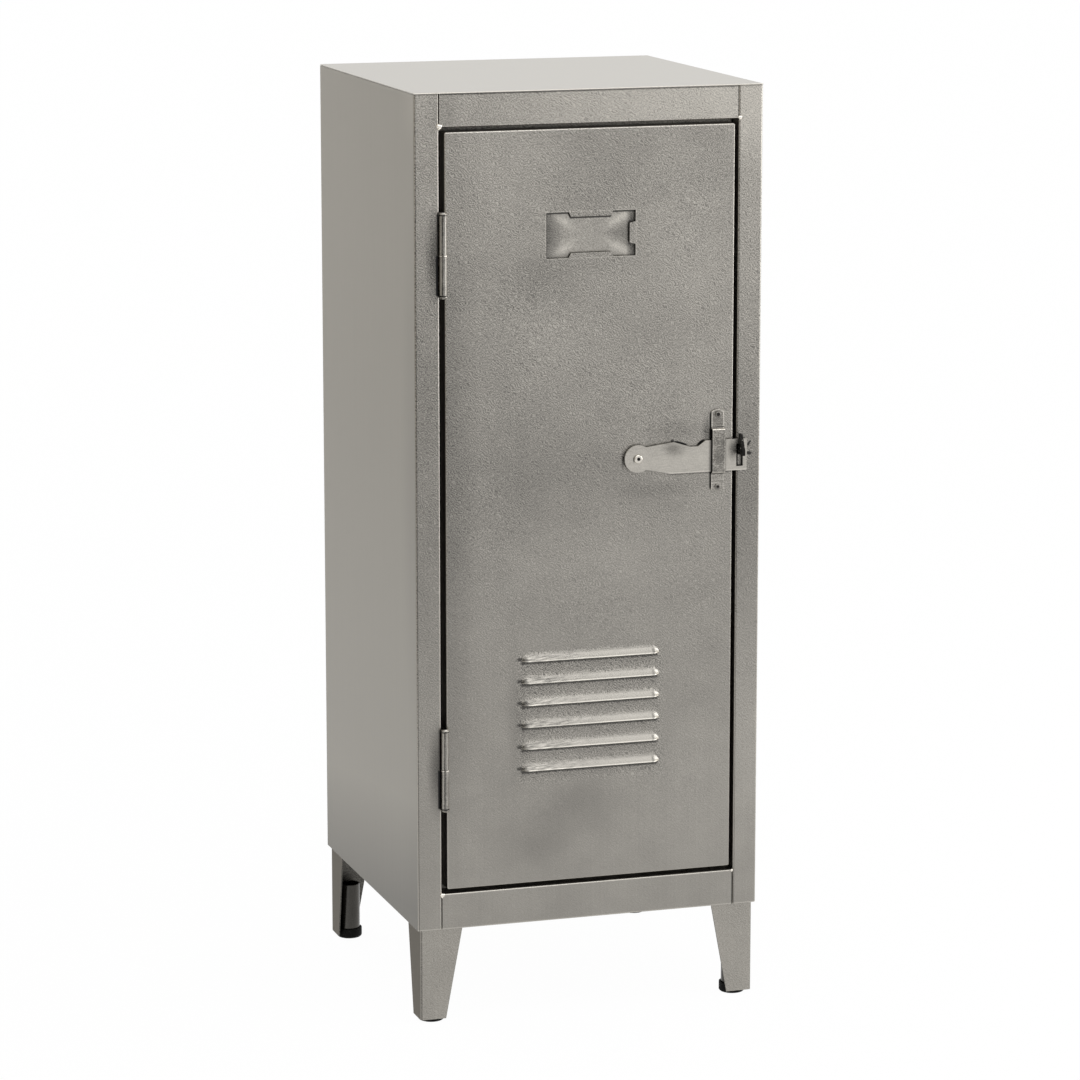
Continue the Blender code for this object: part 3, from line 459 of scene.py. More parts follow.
def card_tones(mat):
    """Painted shade along the card window's outline, painted highlights on the diagonals and painted
    shade at the ends.
    """
    half = CARD_WIDTH / 2
    x = mat.minus(mat.x, CARD.x)
    z = mat.minus(mat.z, CARD.z)
    across, up = mat.absolute(x), mat.absolute(z)
    beside_tabs = mat.between(across, CARD_TAB_LENGTH / 2 - 2 * MM, CARD_TAB_LENGTH / 2)
    edge = mat.total(CARD_HEIGHT / 2 - CARD_TAB_DEPTH, (beside_tabs, CARD_TAB_DEPTH))
    # painted shade lines along the window's edges and beside the right tab
    upper_line = mat.between(mat.minus(edge, z), 2.2 * MM, 1.5 * MM)
    lower_line = mat.between(mat.math("ADD", edge, z), 0.5 * MM, 0.0)
    left_line = mat.between(x, 2.0 * MM - half, 1.3 * MM - half)
    stop = half - CARD_STOP_DEPTH
    level_with_stop = mat.between(up, CARD_STOP_LENGTH / 2 + 1 * MM, CARD_STOP_LENGTH / 2)
    stop_line = mat.product(mat.near(x, stop + 0.9 * MM, 1.9 * MM), level_with_stop)
    # painted shade at both ends
    right_end_shade = mat.between(x, stop - 3 * MM, stop + 2 * MM)
    left_end_shade = mat.between(x, 18 * MM - half, 4 * MM - half)

    # painted highlights along the diagonals, painted shade beside them
    slant = mat.math("MULTIPLY", up, CARD_WIDTH / CARD_HEIGHT)
    outward = mat.between(across, 0.16 * CARD_WIDTH, 0.28 * CARD_WIDTH)
    inside = mat.band(x, 13 * MM - half, stop - 4 * MM, 8 * MM)
    diagonal_highlight = mat.product(mat.near(across, slant, 14 * MM), outward, inside)
    right_shade = mat.between(mat.minus(x, slant), 8 * MM, 26 * MM)
    left_shade = mat.between(mat.math("ADD", x, slant), -12 * MM, -30 * MM)
    return (
        (upper_line, -0.8), (lower_line, -0.3), (left_line, -0.45), (stop_line, -0.9),
        (right_end_shade, -0.42), (left_end_shade, -0.32), (diagonal_highlight, 0.24), (right_shade, -0.24), (left_shade, -0.1),
    )


def beside_strap(mat, soft):
    """Painted black shadow strip beside and under the keeper strap, soft towards the hinges."""
    return mat.product(
        mat.band(mat.x, STRAP_LOW.x - 0.5 * MM, STRAP_HIGH.x - 1 * MM, soft),
        mat.band(mat.z, STRAP_LOW.z + 5 * MM, STRAP_HIGH.z - 5 * MM, 3 * MM),
    )


def soot_spots(mat, rows):
    """Painted black shadow spots on the front, from a table of spots."""
    return mat.either(*[
        mat.product(mat.between(mask, 0.1, 0.45), weight) for mask, weight in mat.spots(rows)
    ])


def door_soot(mat):
    """Painted black shadow beside the keeper strap and under the arm's notch."""
    return mat.either(beside_strap(mat, 1.6 * MM), soot_spots(mat, NOTCH_SHADOWS))


def arm_soot(mat):
    """Painted black shadow strip beside the keeper strap, and painted black shade on the walls of the
    slot.
    """
    slot = mat.product(
        mat.band(mat.x, HOOK.x - SLOT_WIDTH / 2, HOOK.x + SLOT_WIDTH / 2, 0.2 * MM),
        mat.band(mat.z, PIVOT.z - SLOT_BELOW, PIVOT.z + SLOT_ABOVE, 0.2 * MM),
    )
    walls = mat.between(mat.square_to("Y"), 0.6, 0.3)
    return mat.either(beside_strap(mat, 3.4 * MM), mat.product(slot, walls))


def strap_tones(mat):
    """Painted highlights on the rims, crown and step, a painted shade line at both ends of the bridge
    and a paler lower tab.
    """
    middle, half = (STRAP_LOW.x + STRAP_HIGH.x) / 2, (STRAP_HIGH.x - STRAP_LOW.x) / 2
    bridge_low, bridge_high = STRAP_LOW.z + KEEPER_TAB, STRAP_HIGH.z - KEEPER_TAB
    x = mat.minus(mat.x, middle)
    rim = mat.between(mat.absolute(x), half - 1.3 * MM, half - 0.8 * MM)
    radius = (half**2 + KEEPER_ROUND**2) / (2 * KEEPER_ROUND)
    z = mat.minus(mat.z, STRAP_HIGH.z - radius)
    squares = mat.math("ADD", mat.math("POWER", x, 2.0), mat.math("POWER", z, 2.0))
    arc = mat.between(mat.math("SQRT", squares), radius - 1.5 * MM, radius - 0.9 * MM)
    crown = mat.product(arc, mat.between(mat.z, STRAP_HIGH.z - 5 * MM, STRAP_HIGH.z - 4 * MM))
    front = mat.facing_front()
    # painted highlight on the step
    step = mat.either(
        mat.near(mat.z, bridge_high + 2.4 * MM, 0.9 * MM),
        mat.near(mat.z, bridge_high - 0.9 * MM, 0.9 * MM),
    )
    # painted shade line at each end of the bridge
    bend_shade = mat.either(
        mat.near(mat.z, bridge_high + 0.9 * MM, 1.1 * MM),
        mat.near(mat.z, bridge_low - 0.6 * MM, 1.0 * MM),
    )
    lower_tab = mat.between(mat.z, bridge_low - 0.5 * MM, bridge_low - 2 * MM)
    upper_tab = mat.between(mat.z, bridge_high + 0.5 * MM, bridge_high + 2 * MM)
    # painted highlight on the rims and crown
    shine = mat.product(mat.either(rim, crown), front)
    return (
        (shine, 0.1), (mat.product(shine, upper_tab), 0.18), (mat.product(step, front), 0.05),
        (bend_shade, -0.35), (lower_tab, 0.1),
    )


def pivot_hole(mat):
    """Painted black shade in the dish in the middle of the latch pivot's head."""
    return mat.between(mat.spot(PIVOT, (3.4 * MM, 40 * MM, 3.4 * MM)), 0.3, 0.6)


def keeper_dimple_shade(mat):
    """Painted dark shade in the dimple of each keeper rivet's head."""
    return [
        (mat.spot(node_box(name)[2], (reach, 40 * MM, reach)), -1.4)
        for name, reach in (("keeper_rivet_upper", 2.6 * MM), ("keeper_rivet_lower", 2.0 * MM))
    ]


def arm_tones(mat):
    """Painted highlight along the latch arm's lower edge."""
    return ((mat.near(mat.z, PIVOT.z - ARM_BELOW + 0.6 * MM, 1.0 * MM), 0.2),)


def hinge_shade(mat):
    """Painted black shadow strip on the stile beside each hinge, sharp below its washer and soft above
    it.
    """
    masks = []
    for place in PAIR:
        foot, head, _ = node_box(f"{place}_hinge_frame_knuckle")
        crown = node_box(f"{place}_hinge_cap")[1].z
        below = mat.band(mat.z, foot.z, head.z, 1 * MM)
        above = mat.band(mat.z, head.z, crown - 3 * MM, 3 * MM)
        edge = -OPENING - 3.6 * MM
        masks.append(mat.product(below, mat.band(mat.x, edge, -OPENING + BEND, 0.7 * MM)))
        soft = mat.band(mat.x, edge + 2.2 * MM, -OPENING + BEND, 2.4 * MM)
        masks.append(mat.product(above, soft))
    return mat.either(*masks)


def slot_shade(mat):
    """Painted dark shade on the rim of what shows of the right stile through the latch arm's slot."""
    low, high = PIVOT.z - SLOT_BELOW, PIVOT.z + SLOT_ABOVE
    slot = mat.product(
        mat.band(mat.x, HOOK.x - SLOT_WIDTH / 2, HOOK.x + SLOT_WIDTH - 1 * MM, 1.0 * MM),
        mat.band(mat.z, low - 1 * MM, high, 1.0 * MM),
    )
    inner = mat.product(
        mat.band(mat.x, HOOK.x - 0.2 * MM, HOOK.x + 2.4 * MM, 0.7 * MM),
        mat.between(mat.z, low + 0.4 * MM, low + 1.2 * MM),
    )
    return mat.product(slot, mat.total(0.8, (inner, -0.8)))


def shell_soot(mat):
    """Painted black shadow beside the hinges, behind the arm's slot and in spots where the hook's shadow
    falls on the right stile.
    """
    return mat.either(hinge_shade(mat), slot_shade(mat), soot_spots(mat, HOOK_SHADOW_SPOTS))


def bend_reflections(mat):
    """Painted dark reflection line along the front bend of the left side, and a painted light line
    beside it.
    """
    sideways = mat.axis(mat.facing, "X")
    forwards = mat.between(mat.axis(mat.facing, "Y"), 0.0, -0.1)
    return (
        (mat.product(mat.near(sideways, -0.42, 0.36), forwards), -0.5),
        (mat.product(mat.near(sideways, -0.9, 0.12), forwards), 0.1),
    )


def shell_tones(mat):
    """Painted highlight on the left fold, dark seams, painted shade down the sides and on the flanges
    around the door.
    """
    front = mat.facing_front()
    # painted highlight on the left fold
    left_fold = mat.band(mat.x, -OPENING - BEND, -OPENING + 1 * MM, 0.2 * MM)
    foot = mat.product(mat.near(mat.z, SHELL_LOW.z + 0.5 * MM, 1.0 * MM), front)
    on_rails = mat.between(mat.absolute(mat.x), OPENING + 0.2 * MM, OPENING - 0.2 * MM)
    lid_seam = mat.product(mat.near(mat.z, SHELL_HIGH.z - 0.4 * MM, 1.1 * MM), front)
    right_seam = mat.product(mat.near(mat.x, OPENING - 0.3 * MM, 1.1 * MM), front, on_rails)
    # painted shade on the sides, lighter near their tops and darker towards the left side's front foot
    sideways = mat.between(mat.square_to("X"), 0.95, 0.99)
    side_top_light = mat.product(sideways, mat.between(mat.z, 0.25, 0.75))
    slope = mat.total(mat.z, (mat.y, 0.12))
    near_floor = SHELL_LOW.z + 0.12 * FRONT
    on_left = mat.between(mat.x, 0.0, -OPENING)
    low_down = mat.between(slope, near_floor + 130 * MM, near_floor + 20 * MM)
    side_foot_shade = mat.product(sideways, on_left, low_down)
    return (
        *bend_reflections(mat), (mat.product(mat.rounded_edges(), left_fold), 0.7), (foot, 0.25),
        (lid_seam, -0.25), (mat.product(lid_seam, on_rails), -0.35), (right_seam, -0.8),
        (sideways, -0.09), (side_top_light, 0.13), (side_foot_shade, -0.38), (deep_edges(mat), -0.35),
    )


def bright_steel(
    name, level, along=(0, 0, 0), roughness=0.34, contrast=0.5, edge_tone=0.15, light=None, **marks
):
    """Smooth steel with fine lines; level is its middle colour and light its palest."""
    mat = Finish(name, 1.0, coat=0.2, coat_roughness=0.25)
    lines = mat.grain(9, 3, 0.7, turn=along)
    wear = mat.grain(16, detail=3)
    grit = mat.grain(0.9, detail=1)
    # edges made lighter by edge_tone: partly wear, partly a painted highlight
    edge_wear_and_highlight = mat.rounded_edges()
    tone = mat.total(
        0.5, (lines, 0.6 * contrast), (wear, 0.5 * contrast), (grit, 0.8 * contrast), (edge_wear_and_highlight, edge_tone)
    )
    palest = light or min(level * 1.9, 0.95)
    mat.colour(tone, warm(level * 0.1), warm(level), warm(palest), **marks)
    roughness = mat.total(roughness, (lines, 0.3), (wear, 0.25))
    return mat.surfaced(roughness, mat.total(0.0, (lines, 0.6), (grit, 0.6)), 0.15, 0.12 * MM)


def at_heights(mat, heights, reach):
    """One near each of the heights."""
    return mat.either(*[mat.near(mat.z, height, reach) for height in heights])


def barrel_reflections(mat):
    """Drawn barrel with painted reflections: dark line on its left, light bands at its right and far
    left, highlight by its ring.
    """
    sideways = mat.axis(mat.facing, "X")
    washers = [node_box(f"{place}_hinge_washer")[2].z for place in PAIR]
    return (
        (mat.near(sideways, -0.36, 0.3), -0.5),
        (mat.band(sideways, 0.15, 0.75, 0.2), 0.06),
        (mat.near(sideways, -0.85, 0.25), 0.3),
        (at_heights(mat, washers, 1.6 * MM), 0.25),
    )


def cap_tones(mat):
    """Turned cap and pin head: dark rings, and a painted highlight only towards the right."""
    sideways = mat.axis(mat.facing, "X")
    rings = []
    for place in PAIR:
        rings.append(node_box(f"{place}_hinge_door_knuckle")[1].z + 0.4 * MM)
        rings.append(node_box(f"{place}_hinge_frame_knuckle")[0].z - 0.4 * MM)
    return ((at_heights(mat, rings, 0.9 * MM), -0.6), (mat.band(sideways, 0.2, 0.8, 0.2), 0.15))


def washer_reflections(mat):
    """Washer with painted reflections, dark left of its middle and bright on its right, so it shines at
    both sides of its front.
    """
    sideways = mat.axis(mat.facing, "X")
    return ((mat.near(sideways, -0.3, 0.4), -0.6), (mat.band(sideways, 0.3, 0.8, 0.2), 0.3))


def dark_steel(name, level):
    """Blackened steel, mottled, with a few bright spots that are partly wear and partly painted glints.
    """
    mat = Finish(name, 0.85)
    mottle = mat.grain(4, detail=3)
    # bright spots, partly wear and partly painted glints
    sheen = mat.between(mat.grain(1.7), 0.13, 0.22)
    mat.colour(
        mat.total(0.4, (mottle, 0.6), (sheen, 0.6)), warm(level * 0.3), warm(level), warm(level * 40)
    )
    return mat.surfaced(mat.total(0.5, (mottle, 0.5)), mottle, 0.4, 0.4 * MM)


def black_rubber(name):
    """Matt rubber with dust and pores."""
    mat = Finish(name, 0.0, specular=0.1)
    dust = mat.grain(5, detail=3)
    pores = mat.grain(0.9, detail=1)
    tone = mat.total(0.45, (dust, 0.8), (pores, 0.3))
    mat.colour(tone, (0.002, 0.002, 0.002), (0.006, 0.0058, 0.0055), (0.025, 0.024, 0.022))
    return mat.surfaced(mat.total(0.62, (dust, 0.4)), pores, 0.3, 0.2 * MM)


# Meshes

SHARP = 35  # degrees at an edge that stays an edge
WELDED = ("WELD", {"merge_threshold": 0.02 * MM})
# Shades large faces flat right up to their rounded edges
FLATTENED = ("WEIGHTED_NORMAL", {"mode": "FACE_AREA", "weight": 100, "keep_sharp": True})


def rounded(width, sharp):
    """A small round on edges sharper than an angle in degrees."""
    limit = math.radians(sharp)
    return "BEVEL", {"width": width, "segments": 2, "limit_method": "ANGLE", "angle_limit": limit}


def modify(piece, *modifiers):
    for kind, settings in modifiers:
        modifier = piece.modifiers.new(kind.lower(), kind)
        for key, value in settings.items():
            setattr(modifier, key, value)


def add_piece(
    name, points, faces, material, body, replaced=(), smooth_angle=SHARP, modifiers=(), flat=False
):
    """A piece from points and faces, shaped by modifiers, riding on a body."""
    mesh = bpy.data.meshes.new(name)
    mesh.from_pydata([tuple(point) for point in points], [], faces)
    mesh.validate()
    piece = bpy.data.objects.new(name, mesh)
    bpy.context.scene.collection.objects.link(piece)
    modify(piece, *modifiers)
    if modifiers:
        shaped = piece.evaluated_get(bpy.context.evaluated_depsgraph_get())
        piece.data = bpy.data.meshes.new_from_object(shaped)
        piece.modifiers.clear()
    piece.data.shade_smooth()
    piece.data.set_sharp_from_angle(angle=math.radians(smooth_angle))
    piece.data.materials.clear()
    piece.data.materials.append(material)
    if flat:
        modify(piece, FLATTENED)
    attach(piece, body)
    if replaced:
        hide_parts(*replaced)


def grid_lines(low, high, coarse, spans=(), stops=()):
    """Rising values, at most coarse apart, or nearer within each (start, end, step) span."""
    marks = sorted({low, high, *stops, *[edge for start, end, _ in spans for edge in (start, end)]})
    marks = [mark for mark in marks if low <= mark <= high]
    values = [low]
    for start, end in zip(marks, marks[1:]):
        middle = (start + end) / 2
        step = min([coarse, *[size for a, b, size in spans if a < middle < b]])
        count = max(1, round((end - start) / step + 0.3))
        values += [start + (end - start) * (i + 1) / count for i in range(count)]
    return values


def same(a, b):
    return abs(a - b) < 0.001 * MM


# Door

def hood(x, z, slit):
    """How far a louvre's hood stands in front of the door's face at (x, z)."""
    from_end = LOUVRE_LENGTH / 2 - abs(x - DOOR_MIDDLE.x)
    if from_end <= 0 or z < slit:
        return 0.0
    share = min(1.0, from_end / LOUVRE_TAPER)
    end = share * (2 - share)
    rise = (z - slit) / (LOUVRE_HEIGHT * (0.35 + 0.65 * end))
    if rise >= 1:
        return 0.0
    return LOUVRE_REACH * end * (1 - rise) ** 1.8 * (1 - 0.05 * max(0.0, 1 - rise / 0.08) ** 2)


def in_card_window(x, z):
    """Whether a point lies in the opening of the card holder, clear of its three tabs."""
    u, v = abs(x - CARD.x), abs(z - CARD.z)
    if u > CARD_WIDTH / 2 or v > CARD_HEIGHT / 2:
        return False
    if v > CARD_HEIGHT / 2 - CARD_TAB_DEPTH and u < CARD_TAB_LENGTH / 2:
        return False
    return not (x - CARD.x > CARD_WIDTH / 2 - CARD_STOP_DEPTH and v < CARD_STOP_LENGTH / 2)


def tab_corner(x, z):
    """A grid point of the face, drawn in where it is the corner of a card holder's tab."""
    u, v = x - CARD.x, z - CARD.z
    if same(abs(v), CARD_HEIGHT / 2 - CARD_TAB_DEPTH) and same(abs(u), CARD_TAB_LENGTH / 2):
        return x - math.copysign(CARD_TAB_SLOPE, u), z
    if same(u, CARD_WIDTH / 2 - CARD_STOP_DEPTH) and same(abs(v), CARD_STOP_LENGTH / 2):
        return x, z - math.copysign(CARD_STOP_SLOPE, v)
    return x, z


def door_lines():
    """Grid lines of the door's flat face, along X and along Z."""
    ends = [(LOUVRE_LEFT, LOUVRE_LEFT + LOUVRE_TAPER), (LOUVRE_RIGHT - LOUVRE_TAPER, LOUVRE_RIGHT)]
    half_tab = CARD_TAB_LENGTH / 2
    card_x = [-CARD_WIDTH / 2, -half_tab, half_tab, CARD_WIDTH / 2 - CARD_STOP_DEPTH, CARD_WIDTH / 2]
    card_z = [CARD_HEIGHT / 2, CARD_HEIGHT / 2 - CARD_TAB_DEPTH, CARD_STOP_LENGTH / 2]
    xs = grid_lines(
        DOOR_LOW.x + BEND, DOOR_HIGH.x - BEND, 10 * MM,
        [(start, end, 0.8 * MM) for start, end in ends], [CARD.x + x for x in card_x],
    )
    zs = grid_lines(
        DOOR_LOW.z + BEND, DOOR_HIGH.z - BEND, 12 * MM,
        [(slit, slit + LOUVRE_HEIGHT, 0.5 * MM) for slit in LOUVRES],
        [CARD.z + side * z for side in (-1, 1) for z in card_z],
    )
    return xs, zs


def dents(x, z):
    """Slow waves of the hand-worked door face, zero along its edges."""
    across = math.sin(math.pi * (x - DOOR_LOW.x) / (DOOR_HIGH.x - DOOR_LOW.x))
    up = math.sin(math.pi * (z - DOOR_LOW.z) / (DOOR_HIGH.z - DOOR_LOW.z))
    wave = math.sin(31 * x + 9 * z + 0.6) + 0.7 * math.sin(17 * x - 23 * z + 2.1)
    wave += 0.5 * math.sin(43 * z + 12 * x)
    return DENT * wave * min(1.0, 3 * across) * min(1.0, 4 * up)


def door_face(material):
    """Folded door pan: face with louvres and card window, flanges and rear lips."""
    xs, zs = door_lines()
    points, faces = [], []

    def vertex(x, depth, z):
        points.append((x, FRONT + depth, z))
        return len(points) - 1

    slits = {j: slit for slit in LOUVRES for j, z in enumerate(zs) if same(z, slit)}
    sheet, lips = [], {}
    for j, z in enumerate(zs):
        row = []
        for i, x in enumerate(xs):
            stand = 0.0 if j in slits else max(hood(x, z, slit) for slit in LOUVRES)
            moved_x, moved_z = tab_corner(x, z)
            row.append(vertex(moved_x, dents(x, z) - stand, moved_z))
            if j in slits and hood(x, z, slits[j]) > 0:
                lips[i, j] = vertex(x, dents(x, z) - hood(x, z, slits[j]), z)
        sheet.append(row)
    for j in range(len(zs) - 1):
        for i in range(len(xs) - 1):
            if in_card_window((xs[i] + xs[i + 1]) / 2, (zs[j] + zs[j + 1]) / 2):
                continue
            low = [lips.get((k, j), sheet[j][k]) for k in (i, i + 1)]
            faces.append((low[0], low[1], sheet[j + 1][i + 1], sheet[j + 1][i]))
    faces += folded_edges(xs, zs, sheet, vertex)
    add_piece(
        "door_pan", points, faces, material, "door", ["door_skin"], smooth_angle=50, flat=True,
        modifiers=[("SOLIDIFY", {"thickness": SHEET, "offset": -1.0, "use_even_offset": True})],
    )


def folded_edges(xs, zs, sheet, vertex):
    """Faces round the door's fold, back along its flange and in along its lip."""
    corner_steps, fold_steps = 4, 5
    last_x, last_z = len(xs) - 1, len(zs) - 1
    rim = []  # vertex of the face, point on the flat edge, outward direction

    sides = [
        ([(i, 0) for i in range(last_x + 1)], -90),
        ([(last_x, j) for j in range(last_z + 1)], 0),
        ([(i, last_z) for i in range(last_x, -1, -1)], 90),
        ([(0, j) for j in range(last_z, -1, -1)], 180),
    ]
    for places, outward in sides:
        turns = [(place, outward) for place in places]
        turns += [(places[-1], outward + 90 * step / corner_steps) for step in range(1, corner_steps)]
        for (i, j), degrees in turns:
            angle = math.radians(degrees)
            rim.append((sheet[j][i], (xs[i], zs[j]), (math.cos(angle), math.sin(angle))))

    angles = [math.pi / 2 * k / fold_steps for k in range(fold_steps + 1)]
    levels = [(BEND * math.sin(a), BEND * (1 - math.cos(a))) for a in angles[1:]]
    levels.append((BEND, DOOR_DEPTH / 2))
    levels += [(BEND * math.cos(a), DOOR_DEPTH - BEND * (1 - math.sin(a))) for a in angles[:-1]]
    loops = [[start for start, _, _ in rim]]
    for out, depth in levels:
        loops.append([vertex(x + out * dx, depth, z + out * dz) for _, (x, z), (dx, dz) in rim])

    inset = DOOR_LIP - BEND
    lip = {}
    for _, (x, z), _ in rim:
        place = (min(max(x, xs[0] + inset), xs[-1] - inset), min(max(z, zs[0] + inset), zs[-1] - inset))
        if place not in lip:
            lip[place] = vertex(place[0], DOOR_DEPTH, place[1])
        lip[x, z] = lip[place]
    loops.append([lip[place] for _, place, _ in rim])

    faces = []
    for near, far in zip(loops, loops[1:]):
        for a in range(len(rim)):
            b = (a + 1) % len(rim)
            face = tuple(dict.fromkeys((far[a], far[b], near[b], near[a])))
            if len(face) > 2:
                faces.append(face)
    return faces


def card_floor(material):
    """Floor of the card holder, crowned in four soft facets and deepest along its edges."""
    xs = grid_lines(CARD.x - CARD_WIDTH / 2 - CARD_RIM, CARD.x + CARD_WIDTH / 2 + CARD_RIM, 1.8 * MM)
    zs = grid_lines(CARD.z - CARD_HEIGHT / 2 - CARD_RIM, CARD.z + CARD_HEIGHT / 2 + CARD_RIM, 1.5 * MM)
    points = []
    for z in zs:
        for x in xs:
            u = abs(x - CARD.x) / (CARD_WIDTH / 2)
            v = abs(z - CARD.z) / (CARD_HEIGHT / 2)
            outward = min(1.0, (u**6 + v**6) ** (1 / 6))
            margin = min(xs[-1] - x, x - xs[0], zs[-1] - z, z - zs[0]) / CARD_RIM
            depth = CARD_CROWN + (CARD_TROUGH - CARD_CROWN) * outward**2
            points.append((x, FRONT + SHEET + min(1.0, 1.6 * margin) * depth, z))
    wide = len(xs)
    faces = [
        (j * wide + i, j * wide + i + 1, (j + 1) * wide + i + 1, (j + 1) * wide + i)
        for j in range(len(zs) - 1)
        for i in range(wide - 1)
    ]
    add_piece(
        "card_floor", points, faces, material, "door", ["door_skin"],
        modifiers=[("SOLIDIFY", {"thickness": CARD_SHEET, "offset": -1.0})],
    )


# Latch

def arm_edges(x):
    """Lower and upper edge of the latch arm at a distance x from its pivot."""
    if x < ARM_NECK:
        edge = math.sqrt(max(0.0, ARM_DISC**2 - x * x))
        return -edge, edge
    share = min(1.0, (x - ARM_NECK) / (ARM_SHOULDER - ARM_NECK))
    lower = -ARM_NECK_HALF - (ARM_BELOW - ARM_NECK_HALF) * share
    share = min(1.0, (x - ARM_NECK) / (NOTCH_START - ARM_NECK))
    upper = ARM_NECK_HALF + (ARM_ABOVE - ARM_NECK_HALF) * share
    into = (x - NOTCH_START) / (NOTCH_FLOOR_START - NOTCH_START)
    out_of = (NOTCH_END - x) / (NOTCH_END - NOTCH_FLOOR_END)
    return lower, upper - NOTCH_DEPTH * max(0.0, min(1.0, into, out_of))


def latch_arm(material):
    """Flat arm with a round end, a neck, a thumb notch and the slot for the hook."""
    end = ARM_HIGH.x - PIVOT.x
    slot = HOOK.x - PIVOT.x
    slot_edges = (slot - SLOT_WIDTH / 2, slot + SLOT_WIDTH / 2)
    steps = 24
    disc = [-ARM_DISC * math.cos(math.pi * k / steps) for k in range(steps)]
    corners = (ARM_SHOULDER, NOTCH_START, NOTCH_FLOOR_START, NOTCH_FLOOR_END, NOTCH_END)
    columns = [x for x in disc if x < ARM_NECK - 0.4 * MM]
    columns += grid_lines(ARM_NECK, end, 3 * MM, stops=(*corners, *slot_edges))
    whole = ARM_ABOVE + ARM_BELOW
    slot_rows = ((ARM_BELOW - SLOT_BELOW) / whole, (ARM_BELOW + SLOT_ABOVE) / whole)
    rows = grid_lines(0.0, 1.0, 0.08, stops=slot_rows)
    points, faces = [], []
    for x in columns:
        lower, upper = arm_edges(x)
        points += [(PIVOT.x + x, ARM_LOW.y, PIVOT.z + lower + (upper - lower) * share) for share in rows]
    tall = len(rows)
    for i in range(len(columns) - 1):
        for j in range(tall - 1):
            x, share = (columns[i] + columns[i + 1]) / 2, (rows[j] + rows[j + 1]) / 2
            if slot_edges[0] < x < slot_edges[1] and slot_rows[0] < share < slot_rows[1]:
                continue
            faces.append((i * tall + j, (i + 1) * tall + j, (i + 1) * tall + j + 1, i * tall + j + 1))
    add_piece(
        "lift_arm", points, faces, material, "latch_arm", ["latch_arm"], flat=True,
        modifiers=[
            WELDED,
            ("SOLIDIFY", {"thickness": ARM_HIGH.y - ARM_LOW.y, "offset": -1.0}),
            rounded(0.45 * MM, 50),
        ],
    )


def turned_faces(rows, around):
    """Faces between rings of points about Y, from front to back, with both ends closed."""
    faces = []
    for row in range(rows - 1):
        for k in range(around):
            a, b = row * around + k, row * around + (k + 1) % around
            faces.append((a, a + around, b + around, b))
    last = (rows - 1) * around
    return [*faces, tuple(range(around)), tuple(range(last + around - 1, last - 1, -1))]


def lathe(name, profile, centre, material, replaced):
    """A piece on the door, turned about Y from a profile of (radius, y), front to back."""
    steps = 32
    points = []
    for radius, y in profile:
        for k in range(steps):
            angle = 2 * math.pi * k / steps
            points.append((centre.x + radius * math.cos(angle), y, centre.z + radius * math.sin(angle)))
    faces = turned_faces(len(profile), steps)
    add_piece(name, points, faces, material, "door", replaced, smooth_angle=40)


def rivet(node, height, material):
    """Rivet with a dished head, and a low tail behind the door's face."""
    low, high, middle = node_box(node)
    head = (high.x - low.x) / 2
    seat = low.y + height
    tail = FRONT + SHEET + 0.3 * MM
    dish = [(0.03, 0.62), (0.16, 0.58), (0.28, 0.38), (0.38, 0.1), (0.5, 0.0)]
    dome = [(0.68, 0.03), (0.84, 0.16), (0.95, 0.42), (1.0, 0.75), (1.0, 1.0)]
    profile = [(head * r, low.y + height * y) for r, y in dish + dome]
    profile += [(head * 0.6, seat), (head * 0.6, tail), (head, tail)]
    end = [(0.93, 0.5), (0.7, 0.9), (0.03, 1.0)]
    profile += [(head * r, tail + (high.y - tail) * y) for r, y in end]
    lathe(f"{node}_dished", profile, middle, material, [node])


def weld_bead(name, x, z, size, material):
    """Small lumpy bead of weld on the frame; size is its share of the largest."""
    around, rows = 20, 8
    points = []
    for row in range(rows + 1):
        tilt = math.pi * row / rows
        for k in range(around):
            turn = 2 * math.pi * k / around
            lump = 1 + 0.16 * math.sin(3 * turn + 40 * x) + 0.1 * math.sin(5 * turn + 2 * tilt + 60 * z)
            radius = size * BEAD_RADIUS * lump * max(math.sin(tilt), 0.02)
            height = size * BEAD_HEIGHT * math.cos(tilt) * lump
            points.append((x + radius * math.cos(turn), FRONT - height, z + radius * math.sin(turn)))
    faces = turned_faces(rows + 1, around)
    add_piece(name, points, faces, material, "cabinet", smooth_angle=80)


# Finish of the CAD nodes

def dress(names, material, edge=0.25):
    """A material for CAD nodes that stay, and a small round in mm on their edges."""
    for name in names:
        node = NODES[name]
        node.data.materials.clear()
        node.data.materials.append(material)
        node.data.shade_smooth()
        modify(node, WELDED, rounded(edge * MM, SHARP), FLATTENED)


# Tables of spots on the front: x, z, reach along x and z in mm, weight, and a turn in degrees if any.
# The clouds are painted light and shade; in the tables of black shadows the weight is how black.
# painted light and shade on the door
DOOR_LIGHT_AND_SHADE = [
    (-85, 835, 85, 95, 0.06), (8, 822, 70, 55, -0.02), (-48, 736, 50, 36, -0.08),
    (-38, 665, 75, 55, 0.06), (-147, 510, 42, 480, -0.20), (-40, 540, 150, 90, -0.10),
    (112, 682, 50, 30, -0.05), (110, 785, 90, 150, 0.08), (30, 450, 120, 55, 0.04),
    (-8, 212, 70, 42, -0.13), (-58, 178, 60, 40, -0.09), (110, 220, 70, 110, 0.08),
    (-74, 302, 16, 92, -0.10), (88, 576, 40, 16, -0.12), (75, 520, 60, 14, -0.10),
    (118, 600, 60, 200, 0.05),
]
